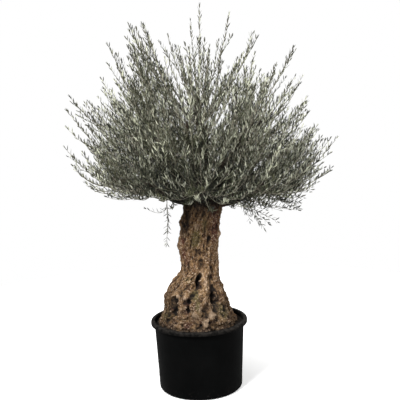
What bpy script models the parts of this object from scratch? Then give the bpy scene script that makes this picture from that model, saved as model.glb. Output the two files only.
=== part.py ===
"""An olive bonsai: an old pollarded trunk in a round black nursery pot, with a crown of long leafy whips.

Metres, +Z up. The origin is the middle of the pot's flat underside, and the photographed side faces -Y.
Bearings are in degrees from +X, counted anticlockwise from above, so 180 is the left side and 270 the front.
"""

import math
import random
from collections import namedtuple

import bmesh
import bpy
from mathutils import Matrix, Vector

# Clearance between pieces that rest on each other
GAP = 0.0003
# An edge sharper than this many degrees is shaded as an edge
POT_EDGE, TRUNK_EDGE, LEAF_EDGE = 40, 50, 30

# Pot: outer radii and heights
POT_HEIGHT = 0.401
POT_RIM_RADIUS = 0.275
POT_WALL_TOP_RADIUS = 0.256
POT_BASE_RADIUS = 0.238
POT_WALL = 0.004
POT_FLOOR = 0.005
POT_LIP_DROP = 0.022
POT_LIP_ROUND = 0.009
POT_BASE_ROUND = 0.019
POT_SIDES = 36

SOIL_TOP = 0.375

# Trunk: (height, girth radius, sideways shift of the middle) from the soil to the head
TRUNK_LINE = (
    (0.375, 0.176, 0.000),
    (0.450, 0.156, 0.000),
    (0.540, 0.141, 0.000),
    (0.620, 0.123, 0.000),
    (0.690, 0.107, 0.014),
    (0.750, 0.107, 0.014),
    (0.830, 0.112, 0.010),
    (0.900, 0.109, 0.020),
    (0.970, 0.110, 0.027),
    (1.030, 0.111, 0.040),
    (1.075, 0.110, 0.044),
    (1.110, 0.086, 0.045),
    (1.130, 0.045, 0.045),
)
# It is shaped as fine rings, and then keeps this share of its faces
TRUNK_SIDES = 96
TRUNK_RINGS = 64
TRUNK_FACES_KEPT = 0.15
# A point this near the flat cut at the soil is laid in it
CUT_SLACK = 0.0002
# Buttress roots:
# (bearing, reach beyond the girth at the soil, height of the top, half width in degrees, how square)
BUTTRESSES = (
    (186, 0.056, 0.668, 21, 4.0),
    (237, 0.050, 0.640, 13, 1.6),
    (275, 0.052, 0.650, 19, 1.5),
    (322, 0.046, 0.600, 19, 1.3),
    (2, 0.052, 0.640, 16, 0.8),
    (48, 0.048, 0.600, 16, 1.4),
    (96, 0.055, 0.650, 18, 1.8),
    (142, 0.050, 0.630, 16, 2.2),
)
# Burls and hollows: (bearing, height, rise or fall of the surface, half size)
BURLS = (
    (180, 0.968, 0.005, 0.026),
    (182, 0.820, 0.004, 0.045),
    (176, 0.910, -0.010, 0.020),
    (2, 0.887, 0.010, 0.016),
    (352, 0.592, 0.014, 0.018),
    (185, 0.470, -0.014, 0.040),
    (262, 0.596, -0.022, 0.036),
    (75, 0.540, -0.030, 0.050),
    (286, 0.430, 0.014, 0.040),
    (303, 0.440, 0.022, 0.036),
    (120, 0.880, 0.014, 0.040),
    (60, 0.760, 0.010, 0.035),
    (300, 0.730, 0.006, 0.035),
)
# Shallow ribs that wind round the trunk: (how many, radians of turn a metre up, strength), and their depth
RIBS = ((5, 9.0, 1.0), (8, -7.0, 0.6))
RIB_DEPTH = 0.014
# Strands of wood that run down into the buttresses:
# (rise, half width, (bearing, height) points down the trunk)
STRANDS = (
    (0.015, 0.018, ((256, 0.700), (244, 0.660), (230, 0.612), (212, 0.572), (203, 0.540))),
    (0.014, 0.013, ((246, 0.560), (239, 0.536), (239, 0.496), (240, 0.440))),
    (0.016, 0.018, ((287, 0.740), (287, 0.680), (288, 0.620), (284, 0.568), (275, 0.520), (268, 0.470))),
    (0.010, 0.014, ((288, 0.530), (292, 0.480), (291, 0.430))),
    (0.010, 0.015, ((318, 0.700), (332, 0.640), (338, 0.590), (332, 0.530), (327, 0.470))),
    (0.004, 0.016, ((10, 0.700), (12, 0.620), (6, 0.540), (4, 0.460))),
    (0.012, 0.015, ((20, 0.600), (30, 0.530), (32, 0.460), (28, 0.430))),
    (0.014, 0.016, ((66, 0.720), (60, 0.640), (50, 0.560), (48, 0.470), (46, 0.430))),
    (0.014, 0.017, ((100, 0.740), (104, 0.660), (98, 0.570), (92, 0.480), (94, 0.430))),
    (0.012, 0.014, ((98, 0.570), (108, 0.500), (112, 0.440))),
    (0.014, 0.016, ((138, 0.700), (134, 0.620), (142, 0.550), (148, 0.470), (146, 0.430))),
    (0.004, 0.015, ((170, 0.600), (172, 0.550), (174, 0.470))),
)
# Steep hollows of the foot: (bearing, height, fall of the surface, half width, half height)
HOLLOWS = (
    (213, 0.486, -0.048, 0.026, 0.040),
    (268, 0.632, -0.034, 0.012, 0.032),
    (261, 0.610, -0.020, 0.018, 0.014),
    (249, 0.505, -0.026, 0.010, 0.048),
    (307, 0.538, -0.040, 0.026, 0.034),
    (20, 0.560, -0.024, 0.013, 0.048),
    (72, 0.500, -0.024, 0.016, 0.046),
    (122, 0.600, -0.024, 0.012, 0.040),
    (159, 0.520, -0.030, 0.016, 0.046),
)

# Crown: everything grows from the middle of the trunk's head
HEAD = Vector((0.042, 0.0, 1.075))
# The crown's outline seen from the front: (elevation in degrees, reach from the head), left and right of it
LEFT_OUTLINE = (
    (-49, 0.33),
    (-6, 0.34),
    (5, 0.63),
    (15, 0.77),
    (25, 0.83),
    (35, 0.94),
    (41, 0.94),
    (52, 0.90),
    (61, 1.01),
    (68, 1.07),
    (73, 1.03),
    (80, 0.94),
    (88, 1.00),
)
RIGHT_OUTLINE = (
    (-28, 0.40),
    (-18, 0.46),
    (-5, 0.58),
    (4, 0.70),
    (12, 0.79),
    (25, 0.83),
    (30, 0.80),
    (43, 0.83),
    (49, 0.91),
    (58, 0.99),
    (71, 0.98),
    (80, 1.04),
    (89, 1.08),
)
# The leading shoots that draw the outline stand this many degrees before and behind it in turn
LEADER_TURN = 9
# The lowest elevation that a mass's foliage hangs to: (bearing, elevation)
UNDERSIDE = (
    (0, -20),
    (45, -6),
    (90, -8),
    (135, -5),
    (180, 1),
    (225, 6),
    (270, 9),
    (315, 3),
    (360, -20),
)
# A mass of foliage: its stub's radius at the end, and its bough's length, none where the stub bears it
Mass = namedtuple("Mass", "name bearing elevation stub_radius bough_length")
MASSES = (
    Mass("right", 2, 7, 0.046, 0.085),
    Mass("back_right", 44, 14, 0.034, 0.0),
    Mass("back", 91, 12, 0.040, 0.075),
    Mass("back_left", 137, 14, 0.033, 0.0),
    Mass("left", 181, 15, 0.042, 0.080),
    Mass("front_left", 224, 18, 0.034, 0.0),
    Mass("front", 268, 20, 0.036, 0.0),
    Mass("front_right", 314, 16, 0.034, 0.0),
    Mass("upper_right", 22, 49, 0.036, 0.100),
    Mass("upper_back_right", 82, 50, 0.034, 0.090),
    Mass("upper_back_left", 141, 48, 0.034, 0.095),
    Mass("upper_left", 200, 50, 0.036, 0.100),
    Mass("upper_front_left", 257, 54, 0.034, 0.085),
    Mass("upper_front_right", 320, 51, 0.034, 0.090),
    Mass("top", 100, 86, 0.042, 0.110),
    Mass("hanging_left", 186, -45, 0.012, 0.0),
    Mass("hanging_right", 352, -30, 0.014, 0.0),
)
# A hanging mass leaves the trunk at this share of its own steepness
HANGING_START = 0.65
STUB_REACH = 0.172
STUB_SWELL = 1.25
BOUGH_SIDES = 9
# A bough's girth along it: (share of its length, share of its stub's radius)
BOUGH_GIRTH = ((0.0, 1.0), (0.45, 0.84), (1.0, 0.76))
STEM_TAPER = 0.30
STEM_LENGTH, HANGING_STEM_LENGTH = 0.30, 0.06
STEM_SIDES = 6
# How far from the planes that part a mass from its neighbours its leaves keep, and its whips' tips and bends
SPACE_MARGIN, TIP_MARGIN, BEND_MARGIN = 0.004, 0.020, 0.012
# A leading shoot's tip outside its mass's share is drawn in by steps of this share
DRAW_IN = 0.05
# The least number of whips in a mass, and how many more than its leading shoots it has
WHIPS, HANGING_WHIPS, WHIPS_BESIDE_LEADERS = 9, 3, 3
TRIES_PER_WHIP = 40
# How far from its mass's line a whip leans, in degrees
WHIP_SPREAD, HANGING_SPREAD = 36.0, 15.0
# Where on the stem a whip starts, as shares of it: one in line with it, how much lower one at the edge of the
# spread starts, how far either way a start strays, and the lowest and highest start
STRAIGHT_START, START_DROP, START_STRAY = 0.92, 0.80, 0.10
LOWEST_START, HIGHEST_START = 0.08, 0.95
# A whip's bend lies this share of the way out on its line from the head, and lower by a share of its reach
WHIP_TURN, WHIP_SAG = 0.35, 0.05
# A hanging whip first goes this far out
HANGING_ARCH = 0.05
WHIP_BASE_RADIUS, WHIP_TIP_RADIUS = 0.0070, 0.0030
# A whip is bent once, at this share of its curve
WHIP_BEND = 0.4
# A whip is at least this many leaves long, and those that don't lead reach these shares of the outline
SHORTEST_SHOOT = 1.75
SHORTEST_WHIP, LONGEST_WHIP = 0.78, 0.95
# Each leaf solid stands for a small spray, its width and thickness shares of its length
LEAF_LENGTH, HANGING_LEAF_LENGTH = 0.150, 0.085
LEAF_WIDTH, LEAF_THICKNESS = 0.22, 0.033
# Where along a leaf it is widest, how deep its root is sunk and how far it leans from its whip in degrees
LEAF_MIDDLE, LEAF_ROOT, LEAF_ANGLE = 0.45, 0.008, 33.0
LEAVES_ON_WHIP = 3
# Of the room that each leaf has on its whip, the share before the first, and a third of the whips' step
FIRST_LEAF, LEAF_STEP = 0.2, 0.2
# The dense middle of a mass: where it starts on the stem, the share of the crown's reach at which it ends,
# and its girth along it as a share of the mass's half width
CORE_START = 0.05
CORE_SHARE = 0.62
CORE_GIRTH = ((0.0, 0.20), (0.35, 0.46), (0.65, 0.40), (1.0, 0.06))
CORE_SIDES = 6
# How far from the trunk a leaf and the tip of a whip keep
LIMB_CLEARANCE, TIP_CLEARANCE = 0.006, 0.030


def direction(bearing, elevation):
    """The unit vector at a bearing and an elevation in degrees."""
    turn, rise = math.radians(bearing), math.radians(elevation)
    return Vector((math.cos(turn) * math.cos(rise), math.sin(turn) * math.cos(rise), math.sin(rise)))


def between(table, at, column=1):
    """A column of a table, read at a value of its first column, in a straight line between rows."""
    if at <= table[0][0]:
        return table[0][column]
    for low, high in zip(table, table[1:]):
        if at <= high[0]:
            share = (at - low[0]) / (high[0] - low[0])
            return low[column] + (high[column] - low[column]) * share
    return table[-1][column]


def turn_between(a, b):
    """The angle from bearing b to bearing a in degrees, from -180 to 180."""
    return (a - b + 180.0) % 360.0 - 180.0


def new_object(name, bm, collection, material=None):
    """The bmesh as a named object with its normals outwards, finished if it has a material."""
    bmesh.ops.recalc_face_normals(bm, faces=bm.faces)
    mesh = bpy.data.meshes.new(name)
    bm.to_mesh(mesh)
    bm.free()
    made = bpy.data.objects.new(name, mesh)
    collection.objects.link(made)
    if material:
        finish(made, material, POT_EDGE)
    return made


def finish(made, material, edge):
    """Give an object one material and smooth shading, with edges sharper than edge degrees kept."""
    made.data.materials.clear()
    made.data.materials.append(material)
    made.data.shade_smooth()
    made.data.set_sharp_from_angle(angle=math.radians(edge))


def finish_material(name, colour, roughness):
    """A plain material with a colour and a roughness."""
    made = bpy.data.materials.new(name)
    made.use_nodes = True
    shader = made.node_tree.nodes["Principled BSDF"]
    shader.inputs["Base Color"].default_value = (*colour, 1.0)
    shader.inputs["Roughness"].default_value = roughness
    shader.inputs["Metallic"].default_value = 0.0
    return made


def frames_along(middles):
    """A frame at each middle point of a limb, with Z along it, carried on without a twist."""
    last = len(middles) - 1
    across = (middles[1] - middles[0]).orthogonal()
    frames = []
    for i, middle in enumerate(middles):
        heading = (middles[min(i + 1, last)] - middles[max(i - 1, 0)]).normalized()
        across = (across - heading * across.dot(heading)).normalized()
        turn = Matrix((across, heading.cross(across), heading)).transposed().to_4x4()
        frames.append(Matrix.Translation(middle) @ turn)
    return frames


def add_limb(bm, stations, sides):
    """A closed limb through (middle, radius) stations: a disc whose rim is extruded. Returns its frames."""
    frames = frames_along([Vector(middle) for middle, _ in stations])
    radii = [radius for _, radius in stations]
    disc = bmesh.ops.create_circle(bm, cap_ends=True, segments=sides, radius=radii[0], matrix=frames[0])
    rim = disc["verts"][0].link_faces[0].edges[:]
    for i in range(1, len(stations)):
        grown = bmesh.ops.extrude_edge_only(bm, edges=rim)["geom"]
        ring = [piece for piece in grown if isinstance(piece, bmesh.types.BMVert)]
        rim = [piece for piece in grown if isinstance(piece, bmesh.types.BMEdge)]
        step = frames[i] @ Matrix.Scale(radii[i] / radii[i - 1], 4) @ frames[i - 1].inverted()
        bmesh.ops.transform(bm, matrix=step, verts=ring)
    bmesh.ops.edgeloop_fill(bm, edges=rim)
    return frames


def thin_out(body, share):
    """Keep only this share of a body's faces, those that carry its shape, and its lowest face flat."""
    lowest = min(vertex.co.z for vertex in body.data.vertices)
    fewer = body.modifiers.new("fewer faces", "DECIMATE")
    fewer.ratio = share
    graph = bpy.context.evaluated_depsgraph_get()
    thinned = bpy.data.meshes.new_from_object(body.evaluated_get(graph))
    body.modifiers.remove(fewer)
    body.data = thinned
    for vertex in thinned.vertices:
        if vertex.co.z < lowest + CUT_SLACK:
            vertex.co.z = lowest


def fuse(body, parts):
    """One Boolean union of body with every object in the parts collection, which is then removed."""
    union = body.modifiers.new("union", "BOOLEAN")
    union.operation = "UNION"
    union.solver = "EXACT"
    union.operand_type = "COLLECTION"
    union.collection = parts
    graph = bpy.context.evaluated_depsgraph_get()
    joined = bpy.data.meshes.new_from_object(body.evaluated_get(graph))
    body.modifiers.remove(union)
    body.data = joined
    for piece in list(parts.objects):
        bpy.data.objects.remove(piece)
    bpy.data.collections.remove(parts)


def arc(middle_r, middle_z, radius, start, end, points=4):
    """Points of a rounded corner of a turned profile, between two angles in degrees."""
    angles = [math.radians(start + (end - start) * i / (points - 1)) for i in range(points)]
    return [(middle_r + radius * math.cos(a), middle_z + radius * math.sin(a)) for a in angles]


def turned(name, profile, collection, material):
    """A solid turned about the vertical axis from a profile of (radius, height) points, from axis to axis."""
    bm = bmesh.new()
    points = [bm.verts.new((radius, 0.0, height)) for radius, height in profile]
    for near, far in zip(points, points[1:]):
        bm.edges.new((near, far))
    made = new_object(name, bm, collection, material)
    screw = made.modifiers.new("turn", "SCREW")
    screw.axis = "Z"
    screw.steps = POT_SIDES
    screw.render_steps = POT_SIDES
    screw.use_merge_vertices = True
    screw.merge_threshold = 0.0001
    return made


def wall_radius(height):
    """The pot's outer wall radius at a height."""
    share = (height - POT_BASE_ROUND) / (POT_HEIGHT - POT_LIP_DROP - POT_BASE_ROUND)
    return POT_BASE_RADIUS + (POT_WALL_TOP_RADIUS - POT_BASE_RADIUS) * share


def build_pot(collection, material):
    """The pot: a tapered shell with a flat underside and a lip rolled outwards and down."""
    lip_in = POT_RIM_RADIUS - POT_LIP_ROUND
    lip_bottom = POT_HEIGHT - POT_LIP_DROP
    wall_top = wall_radius(POT_HEIGHT)
    base_middle = POT_BASE_RADIUS - POT_BASE_ROUND
    inner_round = POT_BASE_ROUND - POT_WALL
    profile = [(0.0, POT_FLOOR)]
    profile += arc(base_middle, POT_FLOOR + inner_round, inner_round, -90, 0, 3)
    profile += [(wall_top - POT_WALL, POT_HEIGHT)]
    profile += arc(lip_in, POT_HEIGHT - POT_LIP_ROUND, POT_LIP_ROUND, 90, 0)
    profile += [(POT_RIM_RADIUS, lip_bottom), (POT_RIM_RADIUS - POT_WALL, lip_bottom)]
    profile += [(POT_RIM_RADIUS - POT_WALL, POT_HEIGHT - 2 * POT_WALL), (wall_top, POT_HEIGHT - 2 * POT_WALL)]
    profile += arc(base_middle, POT_BASE_ROUND, POT_BASE_ROUND, 0, -90)
    profile += [(0.0, 0.0)]
    return turned("pot", profile, collection, material)


def build_soil(collection, material):
    """The root ball's soil: it fills the pot to just under the lip, with a level top."""
    base_middle = POT_BASE_RADIUS - POT_BASE_ROUND
    inner_round = POT_BASE_ROUND - POT_WALL
    floor = POT_FLOOR + GAP
    profile = [(0.0, SOIL_TOP), (wall_radius(SOIL_TOP) - POT_WALL - GAP, SOIL_TOP)]
    profile += arc(base_middle - GAP, floor + inner_round, inner_round, 0, -90, 3)
    profile += [(0.0, floor)]
    return turned("soil", profile, collection, material)


def strand_distance(bearing, height, reach, points):
    """How far a place on the trunk lies from a strand, measured over the unrolled bark."""
    nearest = math.inf
    for (from_bearing, from_height), (to_bearing, to_height) in zip(points, points[1:]):
        along = math.radians(turn_between(bearing, from_bearing)) * reach
        up = height - from_height
        step_along = math.radians(turn_between(to_bearing, from_bearing)) * reach
        step_up = to_height - from_height
        share = (along * step_along + up * step_up) / (step_along**2 + step_up**2)
        share = min(max(share, 0.0), 1.0)
        nearest = min(nearest, math.hypot(along - share * step_along, up - share * step_up))
    return nearest


def trunk_reach(bearing, height):
    """How far the trunk's surface lies from its middle line at a bearing and a height."""
    reach = between(TRUNK_LINE, height)
    for at, foot, top, half_width, square in BUTTRESSES:
        rise = (height - SOIL_TOP) / (top - SOIL_TOP)
        if rise < 1.0:
            share = math.exp(-((turn_between(bearing, at) / half_width) ** 2))
            reach += foot * share * (1.0 - max(rise, 0.0) ** square)
    for at, middle, swell, size in BURLS:
        along = math.radians(turn_between(bearing, at)) * reach
        reach += swell * math.exp(-((along**2 + (height - middle) ** 2) / size**2))
    for swell, half_width, points in STRANDS:
        away = strand_distance(bearing, height, reach, points) / half_width
        reach += swell * math.exp(-(away**2))
    for at, middle, fall, half_width, half_height in HOLLOWS:
        along = math.radians(turn_between(bearing, at)) * reach / half_width
        reach += fall * math.exp(-((along**2 + ((height - middle) / half_height) ** 2) ** 2))
    ribs = 0.0
    for count, turn, strength in RIBS:
        ribs += strength * math.sin(math.radians(count * bearing) + turn * height)
    return reach * (1.0 + RIB_DEPTH * ribs)


def build_trunk(collection, material):
    """The trunk: a flat cut at the soil, a foot of strands, a lumpy bole and a stub for each mass."""
    bottom, top = SOIL_TOP + GAP, TRUNK_LINE[-1][0]
    bm = bmesh.new()
    heights = [bottom + (top - bottom) * i / TRUNK_RINGS for i in range(TRUNK_RINGS + 1)]
    add_limb(bm, [((0, 0, height), TRUNK_LINE[0][1]) for height in heights], TRUNK_SIDES)
    for vertex in bm.verts:
        height = vertex.co.z
        bearing = math.degrees(math.atan2(vertex.co.y, vertex.co.x))
        shift = between(TRUNK_LINE, height, 2)
        vertex.co = Vector((shift, 0, height)) + direction(bearing, 0) * trunk_reach(bearing, height)
    trunk = new_object("trunk", bm, collection)
    thin_out(trunk, TRUNK_FACES_KEPT)
    stubs = bpy.data.collections.new("stubs")
    bpy.context.scene.collection.children.link(stubs)
    for mass in MASSES:
        bm = bmesh.new()
        end = HEAD + limb_heading(mass) * STUB_REACH
        add_limb(bm, [(HEAD, STUB_SWELL * mass.stub_radius), (end, mass.stub_radius)], BOUGH_SIDES)
        new_object("stub", bm, stubs)
    fuse(trunk, stubs)
    finish(trunk, material, TRUNK_EDGE)


def is_hanging(mass):
    """True for the small masses that hang below the crown."""
    return mass.name.startswith("hanging")


def mass_line(mass):
    """The unit vector from the head along the middle of a mass."""
    return direction(mass.bearing, mass.elevation)


def limb_heading(mass):
    """The way a mass's stub, bough and stem head: those of a hanging mass less steeply than it hangs."""
    return direction(mass.bearing, mass.elevation * (HANGING_START if is_hanging(mass) else 1.0))


def bough_line(mass):
    """The middle line of a mass's bough, straight on from its stub, as (middle, radius) stations."""
    heading = limb_heading(mass)
    start = HEAD + heading * (STUB_REACH + GAP)
    stations = []
    for share, girth in BOUGH_GIRTH:
        stations.append((start + heading * mass.bough_length * share, mass.stub_radius * girth))
    return stations


def mass_root(mass):
    """Where a mass's stem starts, the way it heads there, its radius and its length."""
    heading = limb_heading(mass)
    stem = HANGING_STEM_LENGTH if is_hanging(mass) else STEM_LENGTH
    if mass.bough_length:
        end, radius = bough_line(mass)[-1]
        return end + heading * GAP, heading, radius, stem
    return HEAD + heading * (STUB_REACH + GAP), heading, mass.stub_radius, stem


def mass_at(point):
    """The mass whose share of the crown a point lies in."""
    offset = (point - HEAD).normalized()
    return max(MASSES, key=lambda mass: offset.dot(mass_line(mass)))


def in_space(mass, point, margin=SPACE_MARGIN):
    """True if a point lies in the mass's own share of the crown, clear of its neighbours' shares."""
    offset = point - HEAD
    others = [other for other in MASSES if other is not mass]
    return all(offset.dot((mass_line(mass) - mass_line(other)).normalized()) >= margin for other in others)


def clear_of_trunk(point, clearance=LIMB_CLEARANCE):
    """True if a point is outside the trunk by a clearance, or above it."""
    if point.z > TRUNK_LINE[-1][0] + clearance:
        return True
    level = Vector((point.x - between(TRUNK_LINE, point.z, 2), point.y))
    bearing = math.degrees(math.atan2(level.y, level.x))
    return level.length >= trunk_reach(bearing, point.z) + clearance


def halton(index, base):
    """The low-discrepancy Halton number of an index."""
    share, value = 1.0, 0.0
    while index:
        share /= base
        value += share * (index % base)
        index //= base
    return value


def reach_to(heading):
    """How far from the head the crown reaches in a direction: between its left and its right outline."""
    elevation = math.degrees(math.asin(max(-1.0, min(1.0, heading.z))))
    rightness = 0.5 + 0.5 * math.cos(math.atan2(heading.y, heading.x))
    left = between(LEFT_OUTLINE, elevation)
    return left + (between(RIGHT_OUTLINE, elevation) - left) * rightness


def leading_tips(mass):
    """The tips of a mass's leading shoots: those of the crown's outline that lie in its share."""
    tips = []
    for side, outline in ((-1, LEFT_OUTLINE), (1, RIGHT_OUTLINE)):
        for i, (elevation, reach) in enumerate(outline):
            tip = HEAD + direction(90 - 90 * side + LEADER_TURN * (-1) ** i, elevation) * reach
            if mass_at(tip) is mass:
                tips.append(tip)
    return tips


def whip_to(mass, tip, rule):
    """A whip from a mass's stem to its tip, as (start, bend, tip): a wide one starts low on the stem."""
    root, ahead, _, stem = mass_root(mass)
    length = (tip - HEAD).length
    heading = (tip - HEAD) / length
    lean = math.degrees(heading.angle(ahead)) / WHIP_SPREAD
    share = STRAIGHT_START - START_DROP * lean + rule.uniform(-START_STRAY, START_STRAY)
    start = root + ahead * stem * min(max(share, LOWEST_START), HIGHEST_START)
    gone = (start - HEAD).length
    bend = HEAD + heading * (gone + WHIP_TURN * (length - gone))
    level = Vector((heading.x, heading.y, 0))
    bend.z -= WHIP_SAG * level.length
    if is_hanging(mass):
        bend = start + level * HANGING_ARCH
    return start, bend, tip


def whips_of(mass, wanted):
    """The first whips of a mass: its leading shoots, then others spread over its share by a seeded rule."""
    rule = random.Random(f"whips {mass.name}")
    own = mass_line(mass)
    side = own.orthogonal().normalized()
    spread = math.radians(HANGING_SPREAD if is_hanging(mass) else WHIP_SPREAD)
    shortest = SHORTEST_SHOOT * leaf_length(mass)
    whips = []
    for tip in leading_tips(mass):
        while not in_space(mass, tip, TIP_MARGIN):
            tip = tip.lerp(HEAD + own * (tip - HEAD).length, DRAW_IN)
        whip = whip_to(mass, tip, rule)
        if (tip - whip[0]).length > shortest:
            whips.append(whip)
    wanted = max(wanted, len(whips) + WHIPS_BESIDE_LEADERS)
    for i in range(1, TRIES_PER_WHIP * wanted):
        tilt = math.acos(1.0 - halton(i, 2) * (1.0 - math.cos(spread)))
        across = Matrix.Rotation(2 * math.pi * halton(i, 3), 3, own) @ side
        heading = own * math.cos(tilt) + across * math.sin(tilt)
        bearing = math.degrees(math.atan2(heading.y, heading.x)) % 360
        lowest = -90 if is_hanging(mass) else between(UNDERSIDE, bearing)
        tip = HEAD + heading * reach_to(heading) * rule.uniform(SHORTEST_WHIP, LONGEST_WHIP)
        start, bend, tip = whip_to(mass, tip, rule)
        if heading.z < math.sin(math.radians(lowest)) or (tip - start).length < shortest:
            continue
        if not in_space(mass, tip, TIP_MARGIN) or not in_space(mass, bend, BEND_MARGIN):
            continue
        if not clear_of_trunk(tip, TIP_CLEARANCE):
            continue
        whips.append((start, bend, tip))
        if len(whips) == wanted:
            break
    return whips


def on_whip(whip, share):
    """The point at a share of the way along a whip."""
    start, bend, tip = whip
    return start * (1 - share) ** 2 + bend * 2 * share * (1 - share) + tip * share**2


def leaf_length(mass):
    """The length of a mass's leaves."""
    return HANGING_LEAF_LENGTH if is_hanging(mass) else LEAF_LENGTH


def add_leaf(mass, root, heading, flat, parts):
    """A leaf solid with a root, a tip, two edges and a keel, if it fits its mass's space, off the limbs."""
    length = leaf_length(mass)
    middle = root + heading * LEAF_MIDDLE * length
    across = heading.cross(flat).normalized() * LEAF_WIDTH * length / 2
    keel = middle - flat * LEAF_THICKNESS * length
    corners = [root, root + heading * length, middle + across, middle - across, keel]
    if not all(in_space(mass, corner) and clear_of_trunk(corner) for corner in corners):
        return
    bm = bmesh.new()
    for corner in corners:
        bm.verts.new(corner)
    bmesh.ops.convex_hull(bm, input=bm.verts)
    new_object("leaf", bm, parts)


def add_whip(mass, whip, number, parts):
    """A three-sided whip with leaves that spiral from face to face of it, and one that goes on to its tip."""
    tip = whip[2]
    low = on_whip(whip, WHIP_BEND)
    ahead = (tip - low).normalized()
    high = tip - ahead * (leaf_length(mass) - LEAF_ROOT)
    middle_radius = (WHIP_BASE_RADIUS + WHIP_TIP_RADIUS) / 2
    stations = [(whip[0], WHIP_BASE_RADIUS), (low, middle_radius), (high, WHIP_TIP_RADIUS)]
    bm = bmesh.new()
    frames = add_limb(bm, stations, 3)
    new_object("whip", bm, parts)
    across, up, along = (frames[-1].to_3x3().col[axis] for axis in range(3))
    add_leaf(mass, high - ahead * LEAF_ROOT, along, across, parts)
    lean = math.radians(LEAF_ANGLE)
    for i in range(LEAVES_ON_WHIP):
        spin = math.radians(30 + 120 * ((i + number) % 3))
        side = across * math.cos(spin) + up * math.sin(spin)
        heading = along * math.cos(lean) + side * math.sin(lean)
        flat = side * math.cos(lean) - along * math.sin(lean)
        root = low.lerp(high, (i + FIRST_LEAF + LEAF_STEP * (number % 3)) / LEAVES_ON_WHIP)
        add_leaf(mass, root, heading, flat, parts)


def add_core(mass, root, ahead, parts):
    """The dense middle of a mass: a slim spindle about its line, well inside its share of the crown."""
    own = mass_line(mass)
    others = [mass_line(other) for other in MASSES if other is not mass and not is_hanging(other)]
    nearest = min((own - other).length / 2 for other in others)
    start = root + ahead * CORE_START
    end = HEAD + own * reach_to(own) * CORE_SHARE
    stations = []
    for share, girth in CORE_GIRTH:
        middle = start.lerp(end, share)
        stations.append((middle, girth * nearest * (middle - HEAD).length))
    bm = bmesh.new()
    add_limb(bm, stations, CORE_SIDES)
    new_object("core", bm, parts)


def build_mass(mass, collection, material):
    """A mass of foliage: a stem, a slim core where it is full, whips from the stem and leaves along them."""
    root, ahead, radius, length = mass_root(mass)
    tip_radius = max(radius * STEM_TAPER, WHIP_BASE_RADIUS)
    bm = bmesh.new()
    add_limb(bm, [(root, radius), (root + ahead * length, tip_radius)], STEM_SIDES)
    stem = new_object(f"foliage_{mass.name}", bm, collection)
    parts = bpy.data.collections.new("twigs and leaves")
    bpy.context.scene.collection.children.link(parts)
    if not is_hanging(mass):
        add_core(mass, root, ahead, parts)
    for number, whip in enumerate(whips_of(mass, HANGING_WHIPS if is_hanging(mass) else WHIPS)):
        add_whip(mass, whip, number, parts)
    fuse(stem, parts)
    finish(stem, material, LEAF_EDGE)


def main():
    for old in list(bpy.data.objects):
        bpy.data.objects.remove(old)
    collection = bpy.data.collections.new("olive_bonsai")
    bpy.context.scene.collection.children.link(collection)
    plastic = finish_material("black plastic", (0.012, 0.012, 0.012), 0.42)
    compost = finish_material("soil", (0.030, 0.021, 0.014), 0.95)
    bark = finish_material("bark", (0.16, 0.10, 0.055), 0.9)
    leaf = finish_material("olive leaves", (0.16, 0.18, 0.12), 0.6)
    build_pot(collection, plastic)
    build_soil(collection, compost)
    build_trunk(collection, bark)
    for mass in MASSES:
        if mass.bough_length:
            bm = bmesh.new()
            add_limb(bm, bough_line(mass), BOUGH_SIDES)
            new_object(f"bough_{mass.name}", bm, collection, bark)
        build_mass(mass, collection, leaf)


main()
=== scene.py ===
"""The looks of an olive bonsai: a black nursery pot, a gnarled trunk of old bark, and a crown of leafy whips.

Metres, +Z up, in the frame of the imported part. Bearings are in degrees from +X, counted anticlockwise from
above, and the photographed side faces -Y. The file is laid out as an add-on and is run as a script.
"""

import math
import random
from collections import namedtuple

import bmesh
import bpy
import numpy as np
from bpy.props import FloatProperty, FloatVectorProperty, IntProperty, PointerProperty
from mathutils import Euler, Matrix, Vector, noise


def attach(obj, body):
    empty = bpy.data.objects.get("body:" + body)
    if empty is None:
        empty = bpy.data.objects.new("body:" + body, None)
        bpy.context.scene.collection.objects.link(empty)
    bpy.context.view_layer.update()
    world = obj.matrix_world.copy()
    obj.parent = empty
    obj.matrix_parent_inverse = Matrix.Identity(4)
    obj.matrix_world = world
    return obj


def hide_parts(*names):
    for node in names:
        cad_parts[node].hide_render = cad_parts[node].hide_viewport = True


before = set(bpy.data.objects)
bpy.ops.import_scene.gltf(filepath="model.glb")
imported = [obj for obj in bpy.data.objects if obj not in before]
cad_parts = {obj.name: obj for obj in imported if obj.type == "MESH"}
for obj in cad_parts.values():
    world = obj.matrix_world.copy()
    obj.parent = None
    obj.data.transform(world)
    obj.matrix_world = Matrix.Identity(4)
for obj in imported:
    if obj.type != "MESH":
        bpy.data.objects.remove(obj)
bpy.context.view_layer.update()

bl_info = {
    "name": "Olive bonsai",
    "version": (1, 0, 0),
    "blender": (4, 5, 0),
    "location": "View3D > Sidebar > Olive bonsai",
    "description": "Builds the looks of a potted olive bonsai round its packed model",
    "category": "Add Mesh",
}

# Pot, as the part has it: outer radii and heights
POT_HEIGHT = 0.401
POT_RIM_RADIUS = 0.275
POT_WALL_TOP_RADIUS = 0.256
POT_BASE_RADIUS = 0.238
POT_WALL = 0.004
POT_FLOOR = 0.005
POT_LIP_DROP = 0.022
POT_LIP_ROUND = 0.009
POT_BASE_ROUND = 0.019
# A soft step in the wall under the lip: how far below it, how deep, and half its height
POT_STEP_DROP, POT_STEP, POT_STEP_HALF = 0.016, 0.0012, 0.003
# Heights that the wall's section passes, up its inside and down its outside
INNER_LEVELS, OUTER_LEVELS = (0.1, 0.2, 0.3, 0.36), (0.3, 0.2, 0.1)

SOIL_TOP = 0.375
SOIL_GAP = 0.0006
SOIL_RINGS, SOIL_STEPS = 64, 180
# The soil's lumps fade out this close to the wall
SOIL_EDGE = 0.008
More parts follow.
